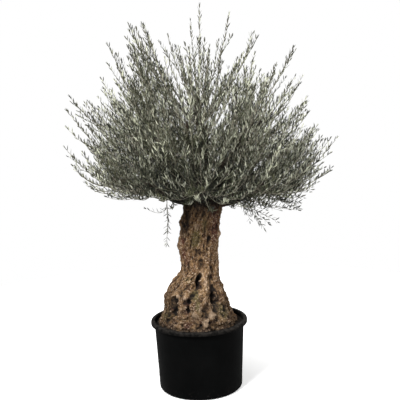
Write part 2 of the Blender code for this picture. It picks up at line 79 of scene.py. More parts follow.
# Sizes of the soil's lumps and crumbs, and their shares of its relief
LUMP_SIZE, LUMP_SHARE = 0.030, 0.9
CRUMB_SIZE, CRUMB_SHARE = 0.012, 0.8
# The distance to the nearest centre in cell noise, on average
CELL_MIDDLE = 0.45
# Loose crumbs: their radii, how far they keep from the wall and reach in at the trunk, how high they lie as a
# share of their radius, how much they are squashed sideways and upwards, and every which one is a pale stone
CRUMB_RADII = (0.0016, 0.0048)
CRUMB_WALL_GAP, CRUMB_TRUNK_REACH = 0.010, 0.005
CRUMB_LIFT = 0.3
CRUMB_WIDTHS, CRUMB_HEIGHTS = (0.7, 1.3), (0.5, 0.9)
STONE_EVERY = 9
# The trunk's foot goes this far into the soil
FOOT_DEPTH = 0.016

# Trunk, as the part has it: (height, girth radius, sideways shift of the middle) from the soil to the head
TRUNK_LINE = (
    (0.375, 0.176, 0.000),
    (0.450, 0.156, 0.000),
    (0.540, 0.141, 0.000),
    (0.620, 0.123, 0.000),
    (0.690, 0.107, 0.014),
    (0.750, 0.107, 0.014),
    (0.830, 0.112, 0.010),
    (0.900, 0.109, 0.020),
    (0.970, 0.110, 0.027),
    (1.030, 0.111, 0.040),
    (1.075, 0.110, 0.044),
    (1.110, 0.086, 0.045),
    (1.130, 0.045, 0.045),
)
# Buttress roots: (bearing, reach beyond the girth at the soil, height of the top, half width in degrees,
# how square)
BUTTRESSES = (
    (186, 0.056, 0.668, 21, 4.0),
    (237, 0.050, 0.640, 13, 1.6),
    (275, 0.052, 0.650, 19, 1.5),
    (322, 0.046, 0.600, 19, 1.3),
    (2, 0.052, 0.640, 16, 0.8),
    (48, 0.048, 0.600, 16, 1.4),
    (96, 0.055, 0.650, 18, 1.8),
    (142, 0.050, 0.630, 16, 2.2),
)
# Burls and hollows of the part: (bearing, height, rise or fall of the surface, half size)
BURLS = (
    (180, 0.968, 0.005, 0.026),
    (182, 0.820, 0.004, 0.045),
    (176, 0.910, -0.010, 0.020),
    (2, 0.887, 0.010, 0.016),
    (352, 0.592, 0.014, 0.018),
    (185, 0.470, -0.014, 0.040),
    (262, 0.596, -0.022, 0.036),
    (75, 0.540, -0.030, 0.050),
    (286, 0.430, 0.014, 0.040),
    (303, 0.440, 0.022, 0.036),
    (120, 0.880, 0.014, 0.040),
    (60, 0.760, 0.010, 0.035),
    (300, 0.730, 0.006, 0.035),
)
# Shallow ribs that wind round the trunk: (how many, radians of turn a metre up, strength), and their depth
RIBS = ((5, 9.0, 1.0), (8, -7.0, 0.6))
RIB_DEPTH = 0.014
# Strands of wood that run down into the buttresses: (rise, half width, (bearing, height) points downwards)
STRANDS = (
    (0.015, 0.018, ((256, 0.700), (244, 0.660), (230, 0.612), (212, 0.572), (203, 0.540))),
    (0.014, 0.013, ((246, 0.560), (239, 0.536), (239, 0.496), (240, 0.440))),
    (0.016, 0.018, ((287, 0.740), (287, 0.680), (288, 0.620), (284, 0.568), (275, 0.520), (268, 0.470))),
    (0.010, 0.014, ((288, 0.530), (292, 0.480), (291, 0.430))),
    (0.010, 0.015, ((318, 0.700), (332, 0.640), (338, 0.590), (332, 0.530), (327, 0.470))),
    (0.004, 0.016, ((10, 0.700), (12, 0.620), (6, 0.540), (4, 0.460))),
    (0.012, 0.015, ((20, 0.600), (30, 0.530), (32, 0.460), (28, 0.430))),
    (0.014, 0.016, ((66, 0.720), (60, 0.640), (50, 0.560), (48, 0.470), (46, 0.430))),
    (0.014, 0.017, ((100, 0.740), (104, 0.660), (98, 0.570), (92, 0.480), (94, 0.430))),
    (0.012, 0.014, ((98, 0.570), (108, 0.500), (112, 0.440))),
    (0.014, 0.016, ((138, 0.700), (134, 0.620), (142, 0.550), (148, 0.470), (146, 0.430))),
    (0.004, 0.015, ((170, 0.600), (172, 0.550), (174, 0.470))),
)
# Steep hollows of the foot: (bearing, height, fall of the surface, half width, half height)
HOLLOWS = (
    (213, 0.486, -0.048, 0.026, 0.040),
    (268, 0.632, -0.034, 0.012, 0.032),
    (261, 0.610, -0.020, 0.018, 0.014),
    (249, 0.505, -0.026, 0.010, 0.048),
    (307, 0.538, -0.040, 0.026, 0.034),
    (20, 0.560, -0.024, 0.013, 0.048),
    (72, 0.500, -0.024, 0.016, 0.046),
    (122, 0.600, -0.024, 0.012, 0.040),
    (159, 0.520, -0.030, 0.016, 0.046),
)
# Finer marks on the bark: (bearing, height, rise or fall, half width, half height)
MARKS = (
    (221, 0.560, 0.013, 0.013, 0.013),
    (210, 0.530, 0.013, 0.012, 0.012),
    (244, 0.554, 0.013, 0.012, 0.012),
    (200, 0.534, 0.008, 0.012, 0.012),
    (230, 0.590, 0.007, 0.014, 0.012),
    (281, 0.434, 0.018, 0.019, 0.016),
    (291, 0.468, 0.014, 0.020, 0.018),
    (286, 0.430, -0.026, 0.007, 0.008),
    (275, 0.468, -0.018, 0.018, 0.009),
    (259, 0.502, 0.010, 0.010, 0.010),
    (265, 0.474, 0.010, 0.010, 0.010),
    (250, 0.412, 0.012, 0.018, 0.016),
    (314, 0.432, 0.010, 0.018, 0.016),
    (303, 0.400, -0.012, 0.012, 0.012),
    (270, 0.400, -0.012, 0.014, 0.010),
    (234, 0.404, 0.010, 0.018, 0.014),
    (201, 0.430, 0.010, 0.014, 0.014),
    (330, 0.420, 0.008, 0.018, 0.018),
    (345, 0.610, 0.006, 0.010, 0.012),
    (261, 0.610, 0.012, 0.018, 0.014),
    (267, 0.944, -0.011, 0.006, 0.007),
    (270, 0.820, -0.011, 0.007, 0.007),
    (282, 0.996, -0.010, 0.006, 0.006),
    (250, 0.988, -0.010, 0.006, 0.008),
    (271, 0.756, -0.008, 0.006, 0.006),
    (239, 0.848, -0.008, 0.006, 0.006),
    (256, 0.966, 0.008, 0.022, 0.018),
    (222, 0.970, -0.012, 0.016, 0.060),
    (183, 0.866, 0.010, 0.018, 0.013),
    (184, 0.826, 0.010, 0.018, 0.015),
    (180, 0.957, 0.010, 0.020, 0.020),
    (180, 0.903, -0.009, 0.022, 0.013),
    (184, 0.752, -0.006, 0.022, 0.026),
    (182, 1.010, -0.006, 0.022, 0.016),
    (342, 0.892, 0.012, 0.012, 0.012),
    (205, 0.855, 0.012, 0.020, 0.030),
    (216, 0.780, 0.006, 0.018, 0.040),
    (75, 0.900, -0.011, 0.008, 0.010),
    (132, 0.780, -0.010, 0.008, 0.012),
    (118, 0.450, 0.014, 0.022, 0.022),
    (40, 0.820, 0.010, 0.020, 0.028),
    (150, 0.900, 0.009, 0.022, 0.030),
    (100, 0.980, 0.010, 0.022, 0.024),
)
# Long low folds of the column, and a curl of wood in the right hollow:
# (rise or fall, half width, (bearing, height) points down the trunk)
FOLDS = (
    (0.034, 0.0045, ((309, 0.580), (315, 0.562), (316, 0.546), (311, 0.532))),
    (0.005, 0.016, ((236, 1.030), (238, 0.940), (232, 0.840), (238, 0.740))),
    (-0.004, 0.009, ((246, 1.020), (249, 0.900), (244, 0.800), (252, 0.700))),
    (0.006, 0.017, ((312, 1.030), (315, 0.888), (300, 0.750))),
    (-0.004, 0.009, ((286, 1.020), (296, 0.900), (288, 0.780))),
    (0.006, 0.016, ((334, 1.020), (332, 0.900), (336, 0.780), (330, 0.700))),
    (0.006, 0.016, ((20, 1.000), (28, 0.860), (14, 0.720))),
    (-0.005, 0.010, ((40, 0.980), (46, 0.820), (36, 0.660))),
    (0.007, 0.017, ((66, 1.020), (74, 0.880), (66, 0.740))),
    (0.007, 0.016, ((100, 0.980), (92, 0.840), (100, 0.740))),
    (-0.005, 0.010, ((116, 0.960), (112, 0.820), (120, 0.680))),
    (0.007, 0.017, ((140, 1.010), (146, 0.860), (138, 0.720))),
    (0.006, 0.015, ((168, 0.990), (160, 0.860), (170, 0.740))),
)
# The strands that the bark's fibres run along, by their place in STRANDS, in turn round the trunk
FLOW_STRANDS = (0, 2, 4, 6, 7, 8, 10, 11)
FLOW_RADIUS = 0.125
# Patches of a tone on the trunk: (bearing, height, half width, half height, strength)
TONES = {
    "moss": (
        (263, 0.566, 0.026, 0.034, 1.0),
        (269, 0.520, 0.018, 0.040, 0.8),
        (258, 0.880, 0.036, 0.060, 0.9),
        (282, 0.960, 0.024, 0.060, 0.6),
        (240, 0.650, 0.040, 0.020, 0.6),
        (318, 0.470, 0.050, 0.050, 0.8),
        (200, 0.440, 0.050, 0.040, 0.6),
        (60, 0.800, 0.050, 0.090, 0.7),
        (120, 0.560, 0.050, 0.080, 0.7),
    ),
    "red": (
        (249, 0.500, 0.016, 0.050, 1.0),
        (268, 0.620, 0.016, 0.030, 0.7),
        (206, 0.466, 0.014, 0.030, 0.9),
        (318, 0.930, 0.034, 0.110, 1.0),
        (304, 1.020, 0.030, 0.040, 0.8),
        (224, 0.780, 0.040, 0.070, 0.7),
        (214, 0.860, 0.024, 0.030, 0.8),
        (300, 0.600, 0.016, 0.050, 0.5),
        (252, 0.412, 0.034, 0.026, 0.7),
        (130, 0.950, 0.050, 0.080, 0.8),
        (20, 0.700, 0.040, 0.080, 0.7),
    ),
    # Worn patches: partly real wear, partly painted highlights on the knobs and on the curl of the right
    # hollow
    "worn": (
        (259, 0.950, 0.020, 0.018, 1.0),
        (221, 0.560, 0.015, 0.014, 1.0),
        (210, 0.532, 0.015, 0.014, 0.9),
        (244, 0.554, 0.012, 0.012, 0.9),
        (281, 0.434, 0.022, 0.020, 1.0),
        (291, 0.468, 0.022, 0.020, 1.0),
        (314, 0.556, 0.010, 0.026, 1.0),
        (262, 0.478, 0.020, 0.026, 0.7),
        (288, 0.640, 0.014, 0.070, 0.5),
        (276, 0.700, 0.030, 0.060, 0.4),
        (222, 0.586, 0.036, 0.020, 0.5),
        (336, 0.890, 0.012, 0.014, 0.8),
        (216, 0.892, 0.010, 0.014, 0.9),
        (212, 0.850, 0.010, 0.012, 0.8),
        (80, 0.500, 0.030, 0.040, 0.7),
        (150, 0.560, 0.026, 0.040, 0.7),
    ),
    # Dark patches high on the column: partly dark bark, partly painted shade under the crown
    "dark": (
        (226, 0.970, 0.022, 0.075, 0.9),
        (205, 0.950, 0.034, 0.100, 0.7),
        (234, 0.905, 0.016, 0.020, 0.6),
        (300, 0.880, 0.012, 0.070, 0.4),
    ),
}
TRUNK_SIDES, TRUNK_RINGS = 200, 180
# Texture coordinates are pressed together along the trunk by these factors, for its fibres, its finer texture
# and its ridges, so that those are drawn out
FIBRE_STRETCH, BARK_STRETCH, RIDGE_STRETCH = 0.42, 0.80, 0.30
# Sizes of the bark's ridges, knobs and grain, and how far and over what distance its ridges waver
RIDGE_SIZE, KNOB_SIZE, GRAIN_SIZE = 0.021, 0.021, 0.011
RIDGE_WAVER, RIDGE_WAVER_SIZE = 0.35, 0.05
# The seed of that waver. With 0 it would be another one on each run
WAVER_SEED = 1
# The ridges are held to this many standard deviations
RIDGE_LIMIT = 2.2
# The share of the knobs' height on the column, away from the foot
COLUMN_KNOBS = 0.45
# Pits: how far apart, how wide, and the share of their places that have one
PIT_SPACING, PIT_RADIUS, PIT_SHARE = 0.040, 0.0050, 0.35
# The bark is rougher below this height, by this share more
ROUGH_FOOT, FOOT_ROUGHNESS = 0.66, 0.9
# The bark's middle lies this far inside the part's trunk, so that its knobs keep to the part's outline
BARK_SINK = 0.0040
LIMB_SIDES = 20
# The bark stands on a limb where it is this far off the trunk, and its relief is lower there by this factor
LIMB_CLEARANCE, LIMB_RELIEF = 0.02, 0.7
# How deep the bark lies, from 0 on its ridges to 1 in its hollows: the middle, and the rise of the relief,
# the fall of a hollow and the rise of a strand that make a difference of 1
# The bark's colour is darkened by this depth as painted shade in the hollows, and lightened on the ridges as
# a painted highlight
DEPTH_MIDDLE, DEPTH_RELIEF, DEPTH_HOLLOW, DEPTH_STRAND = 0.46, 0.024, 0.050, 0.060
# The share of the bark's faces that is kept; those given up are on the limbs
BARK_KEPT = 0.70

# Crown, by the part's rule: everything grows from the middle of the trunk's head
GAP = 0.0003
HEAD = Vector((0.042, 0.0, 1.075))
# The crown's outline seen from the front: (elevation in degrees, reach from the head), left and right of it
LEFT_OUTLINE = (
    (-49, 0.33),
    (-6, 0.34),
    (5, 0.63),
    (15, 0.77),
    (25, 0.83),
    (35, 0.94),
    (41, 0.94),
    (52, 0.90),
    (61, 1.01),
    (68, 1.07),
    (73, 1.03),
    (80, 0.94),
    (88, 1.00),
)
RIGHT_OUTLINE = (
    (-28, 0.40),
    (-18, 0.46),
    (-5, 0.58),
    (4, 0.70),
    (12, 0.79),
    (25, 0.83),
    (30, 0.80),
    (43, 0.83),
    (49, 0.91),
    (58, 0.99),
    (71, 0.98),
    (80, 1.04),
    (89, 1.08),
)
LEADER_TURN = 9
UNDERSIDE = ((0, -13), (45, -6), (90, -8), (135, -5), (180, 5), (225, 8), (270, 8), (315, 4), (360, -13))
# Between the leading shoots the crown ends nearer: (angle seen from the front, anticlockwise from +X, reach)
BROW = (
    (-90, 0.05),
    (-55, 0.13),
    (-40, 0.26),
    (-20, 0.34),
    (-5, 0.54),
    (10, 0.70),
    (25, 0.90),
    (33, 0.82),
    (50, 1.04),
    (61, 1.14),
    (70, 0.80),
    (80, 0.66),
    (90, 0.67),
    (102, 0.63),
    (113, 1.20),
    (125, 1.18),
    (138, 0.76),
    (145, 0.60),
    (150, 0.76),
    (156, 0.62),
    (168, 0.58),
    (176, 0.40),
    (185, 0.28),
    (215, 0.16),
    (270, 0.05),
)
# A mass of foliage: its stub's radius where the stub ends, and its bough's length, 0 where the stub bears it
Mass = namedtuple("Mass", "name bearing elevation stub_radius bough_length")
MASSES = (
    Mass("right", 2, 7, 0.046, 0.085),
    Mass("back_right", 44, 14, 0.034, 0.0),
    Mass("back", 91, 12, 0.040, 0.075),
    Mass("back_left", 137, 14, 0.033, 0.0),
    Mass("left", 181, 15, 0.042, 0.080),
    Mass("front_left", 224, 18, 0.034, 0.0),
    Mass("front", 268, 20, 0.036, 0.0),
    Mass("front_right", 314, 16, 0.034, 0.0),
    Mass("upper_right", 22, 49, 0.036, 0.100),
    Mass("upper_back_right", 82, 50, 0.034, 0.090),
    Mass("upper_back_left", 141, 48, 0.034, 0.095),
    Mass("upper_left", 200, 50, 0.036, 0.100),
    Mass("upper_front_left", 257, 54, 0.034, 0.085),
    Mass("upper_front_right", 320, 51, 0.034, 0.090),
    Mass("top", 100, 86, 0.042, 0.110),
    Mass("hanging_left", 186, -45, 0.012, 0.0),
    Mass("hanging_right", 352, -30, 0.014, 0.0),
)
STUB_REACH = 0.172
STUB_SWELL = 1.25
BOUGH_GIRTH = ((0.0, 1.0), (0.45, 0.84), (1.0, 0.76))
# A stem: its length, its girth at the tip as shares of its root's and in all, how far it goes back into its
# bough as a share of its length, its points along and round it, and the width and number of its sways
STEM_LENGTH = 0.30
STEM_TAPER, STEM_TIP = 0.30, 0.8
STEM_BACK = 0.08
STEM_STATIONS, STEM_SIDES = 9, 10
STEM_SWAY, STEM_TURNS = 0.012, 7.0
# Whips of the hanging masses: where they start, how far they arch out and up or down, and each tip
HANGING_WHIPS = {
    "hanging_left": (
        (-0.157, -0.02, 1.120),
        (0.008, -0.160),
        ((-0.172, -0.02, 0.822), (-0.160, 0.00, 0.900), (-0.310, 0.02, 1.060)),
    ),
    "hanging_right": (
        (0.200, -0.02, 1.085),
        (0.100, -0.020),
        (
            (0.399, -0.03, 0.882),
            (0.371, 0.03, 0.909),
            (0.430, 0.00, 0.915),
            (0.473, -0.05, 0.940),
            (0.304, -0.02, 0.930),
            (0.502, 0.05, 0.992),
            (0.548, 0.00, 1.006),
            (0.277, 0.03, 0.978),
        ),
    ),
}
# The hanging whips start this far apart sideways and downwards
HANGING_SPREAD, HANGING_DROP = 0.012, 0.006
# Leaves and leaf steps of the hanging masses, as a share of the others
HANGING_LEAF, HANGING_STEP = 0.90, 0.80
TIP_MARGIN = 0.020
DRAW_IN = 0.05
TRIES_PER_WHIP = 40
WHIP_SPREAD = 36.0
STRAIGHT_START, START_DROP, START_STRAY = 0.92, 0.80, 0.10
LOWEST_START, HIGHEST_START = 0.08, 0.95
# A whip bends further out than the part's, and the flatter it lies the lower it sags there before it rises,
# but by no more than this share of its tip's height over the head
WHIP_TURN, WHIP_SAG, SAG_SHARE = 0.55, 0.20, 0.60
SHORTEST_SHOOT = 1.75
SHORTEST_WHIP, LONGEST_WHIP = 0.78, 0.98
SPRAY_LENGTH = 0.150
TIP_CLEARANCE = 0.030

# Finer growth than the part's: a whip's and a side shoot's thickness at the base and at the tip
WHIP_RADIUS, SIDE_RADIUS, SHOOT_TIP_RADIUS = 0.0032, 0.0018, 0.0008
# The share of each kind of shoot that bears no leaves at its start
WHIP_BARE, SIDE_BARE = 0.20, 0.10
# Side shoots leave a whip between these shares of it, at these angles in degrees, and are these shares of
# what is left of it there
SIDE_FIRST, SIDE_LAST = 0.14, 0.84
SIDE_LEAN = (13.0, 36.0)
SIDE_LENGTH = (0.50, 0.95)
SHORTEST_SIDE, LONGEST_SIDE = 0.07, 0.36
# How strongly a side shoot bends back along its whip and up to the light
SIDE_RETURN, SIDE_LIFT = 1.2, 0.25
# Each leaves its whip this far round it from the one before, and the whip's way is read over this share of it
GOLDEN_TURN, WAY_STEP = 137.5, 0.02
# Whips and side shoots that rise less than these shares of their distance from the head are low ones, and
# these shares of them are lost; the underside lies lower or higher for a whip by up to these angles, and
# lower for a side shoot's tip by this one
LOW_WHIPS, LOW_WHIPS_LOST = 0.20, 0.15
LOW_SIDES, LOW_LOST = 0.26, 0.60
LOW_STRAY, LOW_SLACK = (-6.0, 3.0), 2.0
# Shoots may cross into a neighbour's share of the crown by this much, so that no seam shows
CROSSING = 0.070
# Short leafy shoots about the head: their length, how far they lean from the limb in degrees, how they turn
# up, and from which share of the stub to which share of the stem they start
HEAD_SHOOT_LENGTH = (0.10, 0.24)
HEAD_SHOOT_LEAN, HEAD_SHOOT_LIFT = (20.0, 75.0), 0.35
HEAD_SHOOTS_FROM, HEAD_SHOOTS_TO = 0.8, 0.7
HEAD_BARE = 0.20
# How far a shoot wavers as a share of its length
WAVER = 0.010
# Whips and side shoots end between these shares of the brow, and those of leading whips at this share of it
WHIP_BROW, SIDE_BROW, LEADER_BROW = (0.58, 1.40), (0.60, 1.34), 1.36
# Side shoots of a leading whip: where the first leaves it, their lean in degrees and their share of the rest
LEADER_SIDE_FIRST, LEADER_SIDE_LEAN, LEADER_SIDE_LENGTH = 0.25, (8.0, 24.0), (0.60, 0.95)
# A shoot is drawn in by this share at a time until it keeps to the brow, this many times at most
BROW_STEP, BROW_TRIES = 0.93, 9
# Points along and round the wood of a whip and of a side shoot, which ends short of the last leaf's tip by a
# share of the part's leaf; a shorter shoot than this loses the same share of its length as one of this length
WHIP_STATIONS, WHIP_SIDES = 8, 4
SIDE_STATIONS, SIDE_SIDES = 4, 3
WOOD_SHORT, PART_LEAF, SHORT_SHOOT = 0.7, 0.04, 0.05
# A direction that no twig heads in exactly. The corners round each are set out from it
AWAY_FROM_TWIGS = (0.35, 0.86, 0.37)

# A leaf's corners: (along it, across it as a share of its width, rise as a share of its width)
LEAF_CORNERS = (
    (0.00, 0.00, 0.00),
    (0.32, 0.50, 0.00),
    (0.32, -0.50, 0.00),
    (0.70, 0.40, 0.00),
    (0.70, -0.40, 0.00),
    (1.00, 0.00, 0.00),
    (0.32, 0.00, 0.17),
    (0.70, 0.00, 0.15),
)
LEAF_TOP = ((0, 2, 6), (0, 6, 1), (4, 5, 7), (7, 5, 3))
LEAF_TOP_LONG = ((2, 4, 7, 6), (6, 7, 3, 1))
LEAF_UNDER = ((0, 1, 2), (3, 5, 4))
LEAF_UNDER_LONG = ((1, 3, 4, 2),)
# A leaf's angle from its shoot at the shoot's start and at its tip, how far it strays from it, from its place
# round the shoot and about its own length, all in degrees
LEAF_LEAN = (56.0, 34.0)
LEAF_STRAY, PAIR_STRAY, LEAF_TWIST = 9.0, 14.0, 48.0
# Where a pair stands in its step of the shoot, and the share of the shoot over which its way is read
PAIR_PLACE, LEAF_WAY_STEP = 0.4, 0.01
LEAF_SIZES = (0.72, 1.12)
# Leaves are smaller from this share of their shoot on over this span, by up to this share, and at its start
# over this span by up to this share; their width goes with this power of their length
TIP_FROM, TIP_SPAN, TIP_LOSS = 0.72, 0.28, 0.14
START_SPAN, START_LOSS = 0.15, 0.18
WIDTH_POWER = 0.7
# How far a leaf stands up, how fast that fades on a shoot that hangs, and how far its upper side turns up
LEAF_RISE, RISE_FADE, LEAF_LIFT = 0.85, 1.2, 0.30
# How far a leaf curls back as a share of its length, and the share of leaves lost
LEAF_CURL = (-0.05, 0.14)
LEAVES_LOST = 0.08
# The last pair on a shoot: how small its leaves are, how far they lean, and how far back they start as a
# share of their length
LAST_LEAF, LAST_LEAN, LAST_BACK = 0.62, 10.0, 0.96
# Leaves keep this far off the trunk
LEAF_CLEARANCE = 0.012
# Each mass deals out its leaves by a seed of its own, counted up from this one
LEAF_SEED = 100
# The share of a whip's side shoots that have its kind of leaf
SAME_KIND = 0.7
# Shares of the shoots that have dark, green, grey and pale leaves: the long ones, and those about the head
LEAF_SHARES = (0.50, 0.26, 0.13, 0.11)
# Those about the head are mostly dark, as painted shade in the crown's heart
HEAD_LEAF_SHARES = (0.68, 0.18, 0.08, 0.06)
LEAF_KINDS = ("dark", "green", "grey", "pale")
# Painted shade: near the head, low down and at the crown's edge leaves take the dark upper side and the dim
# underside
# Near the head leaves are mostly dark ones: the share of them there, the distance at which there are none,
# and how fast they set in from there
SHADED_LEAVES, SHADED_REACH, SHADED_SLOPE = 0.95, 0.62, 1.6
# Leaves at this height and lower are dark too, and from the second height on they are not for that
SHADED_HEIGHT, CLEAR_HEIGHT = 1.05, 1.15
# Leaves at the crown's edge: between which distances from the head they become edge leaves, and the shares of
# those that are dark ones and that have a dim underside
EDGE_REACH, EDGE_DARK, EDGE_DIM = (0.52, 0.80), 0.50, 0.75
# Finish of a leaf's upper side, its underside and its dim underside of painted shade: (roughness, specular
# level)
UPPER_FINISH, UNDER_FINISH, DIM_FINISH = (0.48, 0.45), (0.7, 0.3), (0.8, 0.2)
# Edges sharper than these angles in degrees aren't smoothed
SHARP_CRUMB, SHARP_POT, SHARP_LEAF = 30, 50, 50

# Lamps, named for their settings: (name, place, diameter), and the place that they shine on
LAMPS = (("key", (-2.4, -3.9, 4.6), 1.8), ("fill", (3.6, -2.6, 2.4), 3.0))
LAMP_AIM = (0.0, 0.0, 1.1)
# The floor lies this far under the pot, and has this many sides
FLOOR_DROP, FLOOR_SIDES = 0.0008, 64
# The floor's white glow grows from this share by the pot to 1 between these distances from it
FLOOR_GLOW, GLOW_REACH = 0.35, (0.3, 1.3)
WHITE = (1.0, 1.0, 1.0, 1.0)

# Camera: its place, the way it tips down, turns and rolls in degrees, and its focal length in pixels of a
# picture of this many pixels across
CAMERA_PLACE = (0.0, -4.0, 1.66)
CAMERA_TIP, CAMERA_TURN, CAMERA_ROLL = -8.24, -0.40, -1.91
PICTURE_SIDE = 400
FOCAL_PIXELS = 722.9
SENSOR_WIDTH = 36.0


def colour_property(name, description, default):
    """A colour that a user may change."""
    words = {"name": name, "description": description, "subtype": "COLOR"}
    return FloatVectorProperty(**words, size=3, min=0, max=1, default=default)


def length_property(name, description, default, least=0.0, most=10.0):
    """A length in metres that a user may change."""
    words = {"name": name, "description": description, "unit": "LENGTH"}
    return FloatProperty(**words, default=default, min=least, max=most)


def count_property(name, description, default, least, most):
    """A number of things that a user may change."""
    return IntProperty(name=name, description=description, default=default, min=least, max=most)


class OlivePotSettings(bpy.types.PropertyGroup):
    """Finish of the pot."""

    steps: count_property("Steps", "Facets round the pot", 144, 24, 360)
    roughness: FloatProperty(
        name="Roughness", description="How matt it is", default=0.46, min=0, max=1, subtype="FACTOR"
    )
    plastic: colour_property("Plastic", "Black of the plastic", (0.0017, 0.0018, 0.0018))
    dust: colour_property("Dust", "Soil dust on the lip", (0.040, 0.035, 0.031))


class OliveSoilSettings(bpy.types.PropertyGroup):
    """Shape and finish of the soil."""

    lump: length_property("Lump", "Height of its lumps", 0.0055, most=0.02)
    stones: count_property("Crumbs", "Loose crumbs and stones on it", 420, 0, 2000)
    damp: colour_property("Damp", "Colour of the damp soil", (0.005, 0.004, 0.003))
    dry: colour_property("Dry", "Colour of the dry soil", (0.026, 0.019, 0.014))


class OliveTrunkSettings(bpy.types.PropertyGroup):
    """Relief and finish of the trunk and the boughs."""

    step: length_property("Mesh step", "Edge of the bark's mesh", 0.0040, least=0.002)
    ridge: length_property("Ridges", "Depth of the bark's ridges", 0.0034)
    knob: length_property("Knobs", "Height of the bark's knobs", 0.0040)
    grain: length_property("Grain", "Depth of the bark's grain", 0.0024)
    pit: length_property("Pits", "Depth of the bark's pits", 0.0085)
    ochre: colour_property("Ochre", "Colour of the ridges", (0.345, 0.205, 0.092))
    brown: colour_property("Brown", "Colour between the ridges", (0.085, 0.038, 0.018))
    red: colour_property("Red", "Colour of the reddish bark", (0.090, 0.026, 0.017))
    moss: colour_property("Moss", "Colour of the mossy bark", (0.150, 0.128, 0.044))
    # Dark: cracks and flecks, and painted shade in the hollows, at the head and on the limbs; also darker
    # towards the foot and the soil
    dark: colour_property("Dark", "Colour deep in the hollows", (0.006, 0.004, 0.003))
    # Pale: worn knobs, partly a painted highlight on the raised bark
    pale: colour_property("Pale", "Colour of worn knobs", (0.620, 0.460, 0.320))


class OliveCrownSettings(bpy.types.PropertyGroup):
    """Growth and finish of the twigs and the leaves."""

    whips: count_property("Whips", "Whips in each mass", 40, 4, 80)
    side_step: length_property("Side step", "Between side shoots", 0.074, least=0.02)
    head_shoots: count_property("Head shoots", "Short shoots in each mass", 34, 0, 80)
    leaf_length: length_property("Leaf", "Length of a leaf", 0.036, least=0.01)
    leaf_width: length_property("Leaf width", "Width of a leaf", 0.0064, least=0.002)
    leaf_step: length_property("Leaf step", "Between leaf pairs", 0.0205, least=0.005)
    # Dark leaves: a tone dealt at random, also painted on as shade near the head, low down and at the crown's
    # edge
    dark: colour_property("Dark leaves", "Upper side of the dark leaves", (0.008, 0.010, 0.004))
    green: colour_property("Green leaves", "Upper side of the green leaves", (0.028, 0.032, 0.013))
    grey: colour_property("Grey leaves", "Upper side of the grey leaves", (0.080, 0.083, 0.044))
    pale: colour_property("Pale leaves", "Upper side of the pale leaves", (0.430, 0.440, 0.325))
    under: colour_property("Underside", "Silvery underside of the leaves", (0.500, 0.510, 0.400))
    # Painted shade: the underside of leaves near the head, low down and at the crown's edge
    dim: colour_property("Dim underside", "Underside of the shaded leaves", (0.085, 0.084, 0.056))
    branch: colour_property("Branch", "Bark of the thick stems", (0.030, 0.022, 0.015))
    whip: colour_property("Whip", "Bark of the whips", (0.240, 0.220, 0.170))
    shoot: colour_property("Shoot", "Skin of the side shoots", (0.200, 0.205, 0.135))


class OliveStageSettings(bpy.types.PropertyGroup):
    """Floor and light."""

    floor_radius: length_property("Floor", "Radius of the floor", 3.0, least=2.0)
    floor: colour_property("Floor colour", "Pale floor", (0.93, 0.93, 0.925))
    bounce: colour_property("Bounce", "Light that the floor throws back at the plant", (0.34, 0.34, 0.34))
    sky: FloatProperty(name="Surroundings", description="Light from above", default=0.44, min=0)
    low_sky: FloatProperty(name="Low surroundings", description="Light from below", default=0.04, min=0)
    key: FloatProperty(name="Key", description="Lamp at the front left", default=560.0, min=0, unit="POWER")
    fill: FloatProperty(name="Fill", description="Lamp at the right", default=120.0, min=0, unit="POWER")


def plain(colour):
    """A colour with full opacity."""
    return (*colour, 1.0)


def toned(colour, factor):
    """A colour made lighter or darker by a factor."""
    return [factor * part for part in colour]


def place(tree, kind, **values):
    """A new node, with its settings and the plain values of its sockets given by name."""
    made = tree.nodes.new("ShaderNode" + kind)
    for name, value in values.items():
        if hasattr(made, name):
            setattr(made, name, value)
        else:
            feed(tree, made.inputs[name.replace("_", " ")], value)
    return made


def feed(tree, socket, value):
    """Give a socket another node's output or a plain value."""
    if isinstance(value, bpy.types.NodeSocket):
        tree.links.new(value, socket)
    else:
        socket.default_value = value


def mixed(tree, share, first, second, way="MIX"):
    """The colour at a share of the way from the first colour to the second."""
    mix = tree.nodes.new("ShaderNodeMix")
    mix.data_type = "RGBA"
    mix.blend_type = way
    for number, value in ((0, share), (6, first), (7, second)):
        feed(tree, mix.inputs[number], value)
    return mix.outputs[2]


def ranged(tree, value, low, high, to_low=0.0, to_high=1.0):
    """A value carried from the range low to high over to another range, and held there."""
    node = place(tree, "MapRange", Value=value, From_Min=low, From_Max=high, To_Min=to_low, To_Max=to_high)
    return node.outputs["Result"]


def scaled(tree, a, b, way="MULTIPLY"):
    """Two values multiplied, or put together in another way."""
    node = tree.nodes.new("ShaderNodeMath")
    node.operation = way
    feed(tree, node.inputs[0], a)
    feed(tree, node.inputs[1], b)
    return node.outputs[0]


def shader_group(name, inputs, outputs):
    """A new node group with its ends: inputs are (name, kind, default) and outputs are (name, kind)."""
    tree = bpy.data.node_groups.new(name, "ShaderNodeTree")
    for label, kind, default in inputs:
        socket = tree.interface.new_socket(name=label, in_out="INPUT", socket_type="NodeSocket" + kind)
        if default is not None:
            socket.default_value = default
    for label, kind in outputs:
        tree.interface.new_socket(name=label, in_out="OUTPUT", socket_type="NodeSocket" + kind)
    return tree, tree.nodes.new("NodeGroupInput"), tree.nodes.new("NodeGroupOutput")


def group_noise(tree, start, roughness):
    """Noise inside a group, by the group's vector, scale and detail."""
    sockets = {name: start.outputs[name] for name in ("Vector", "Scale", "Detail")}
    return place(tree, "TexNoise", Roughness=roughness, **sockets).outputs["Fac"]


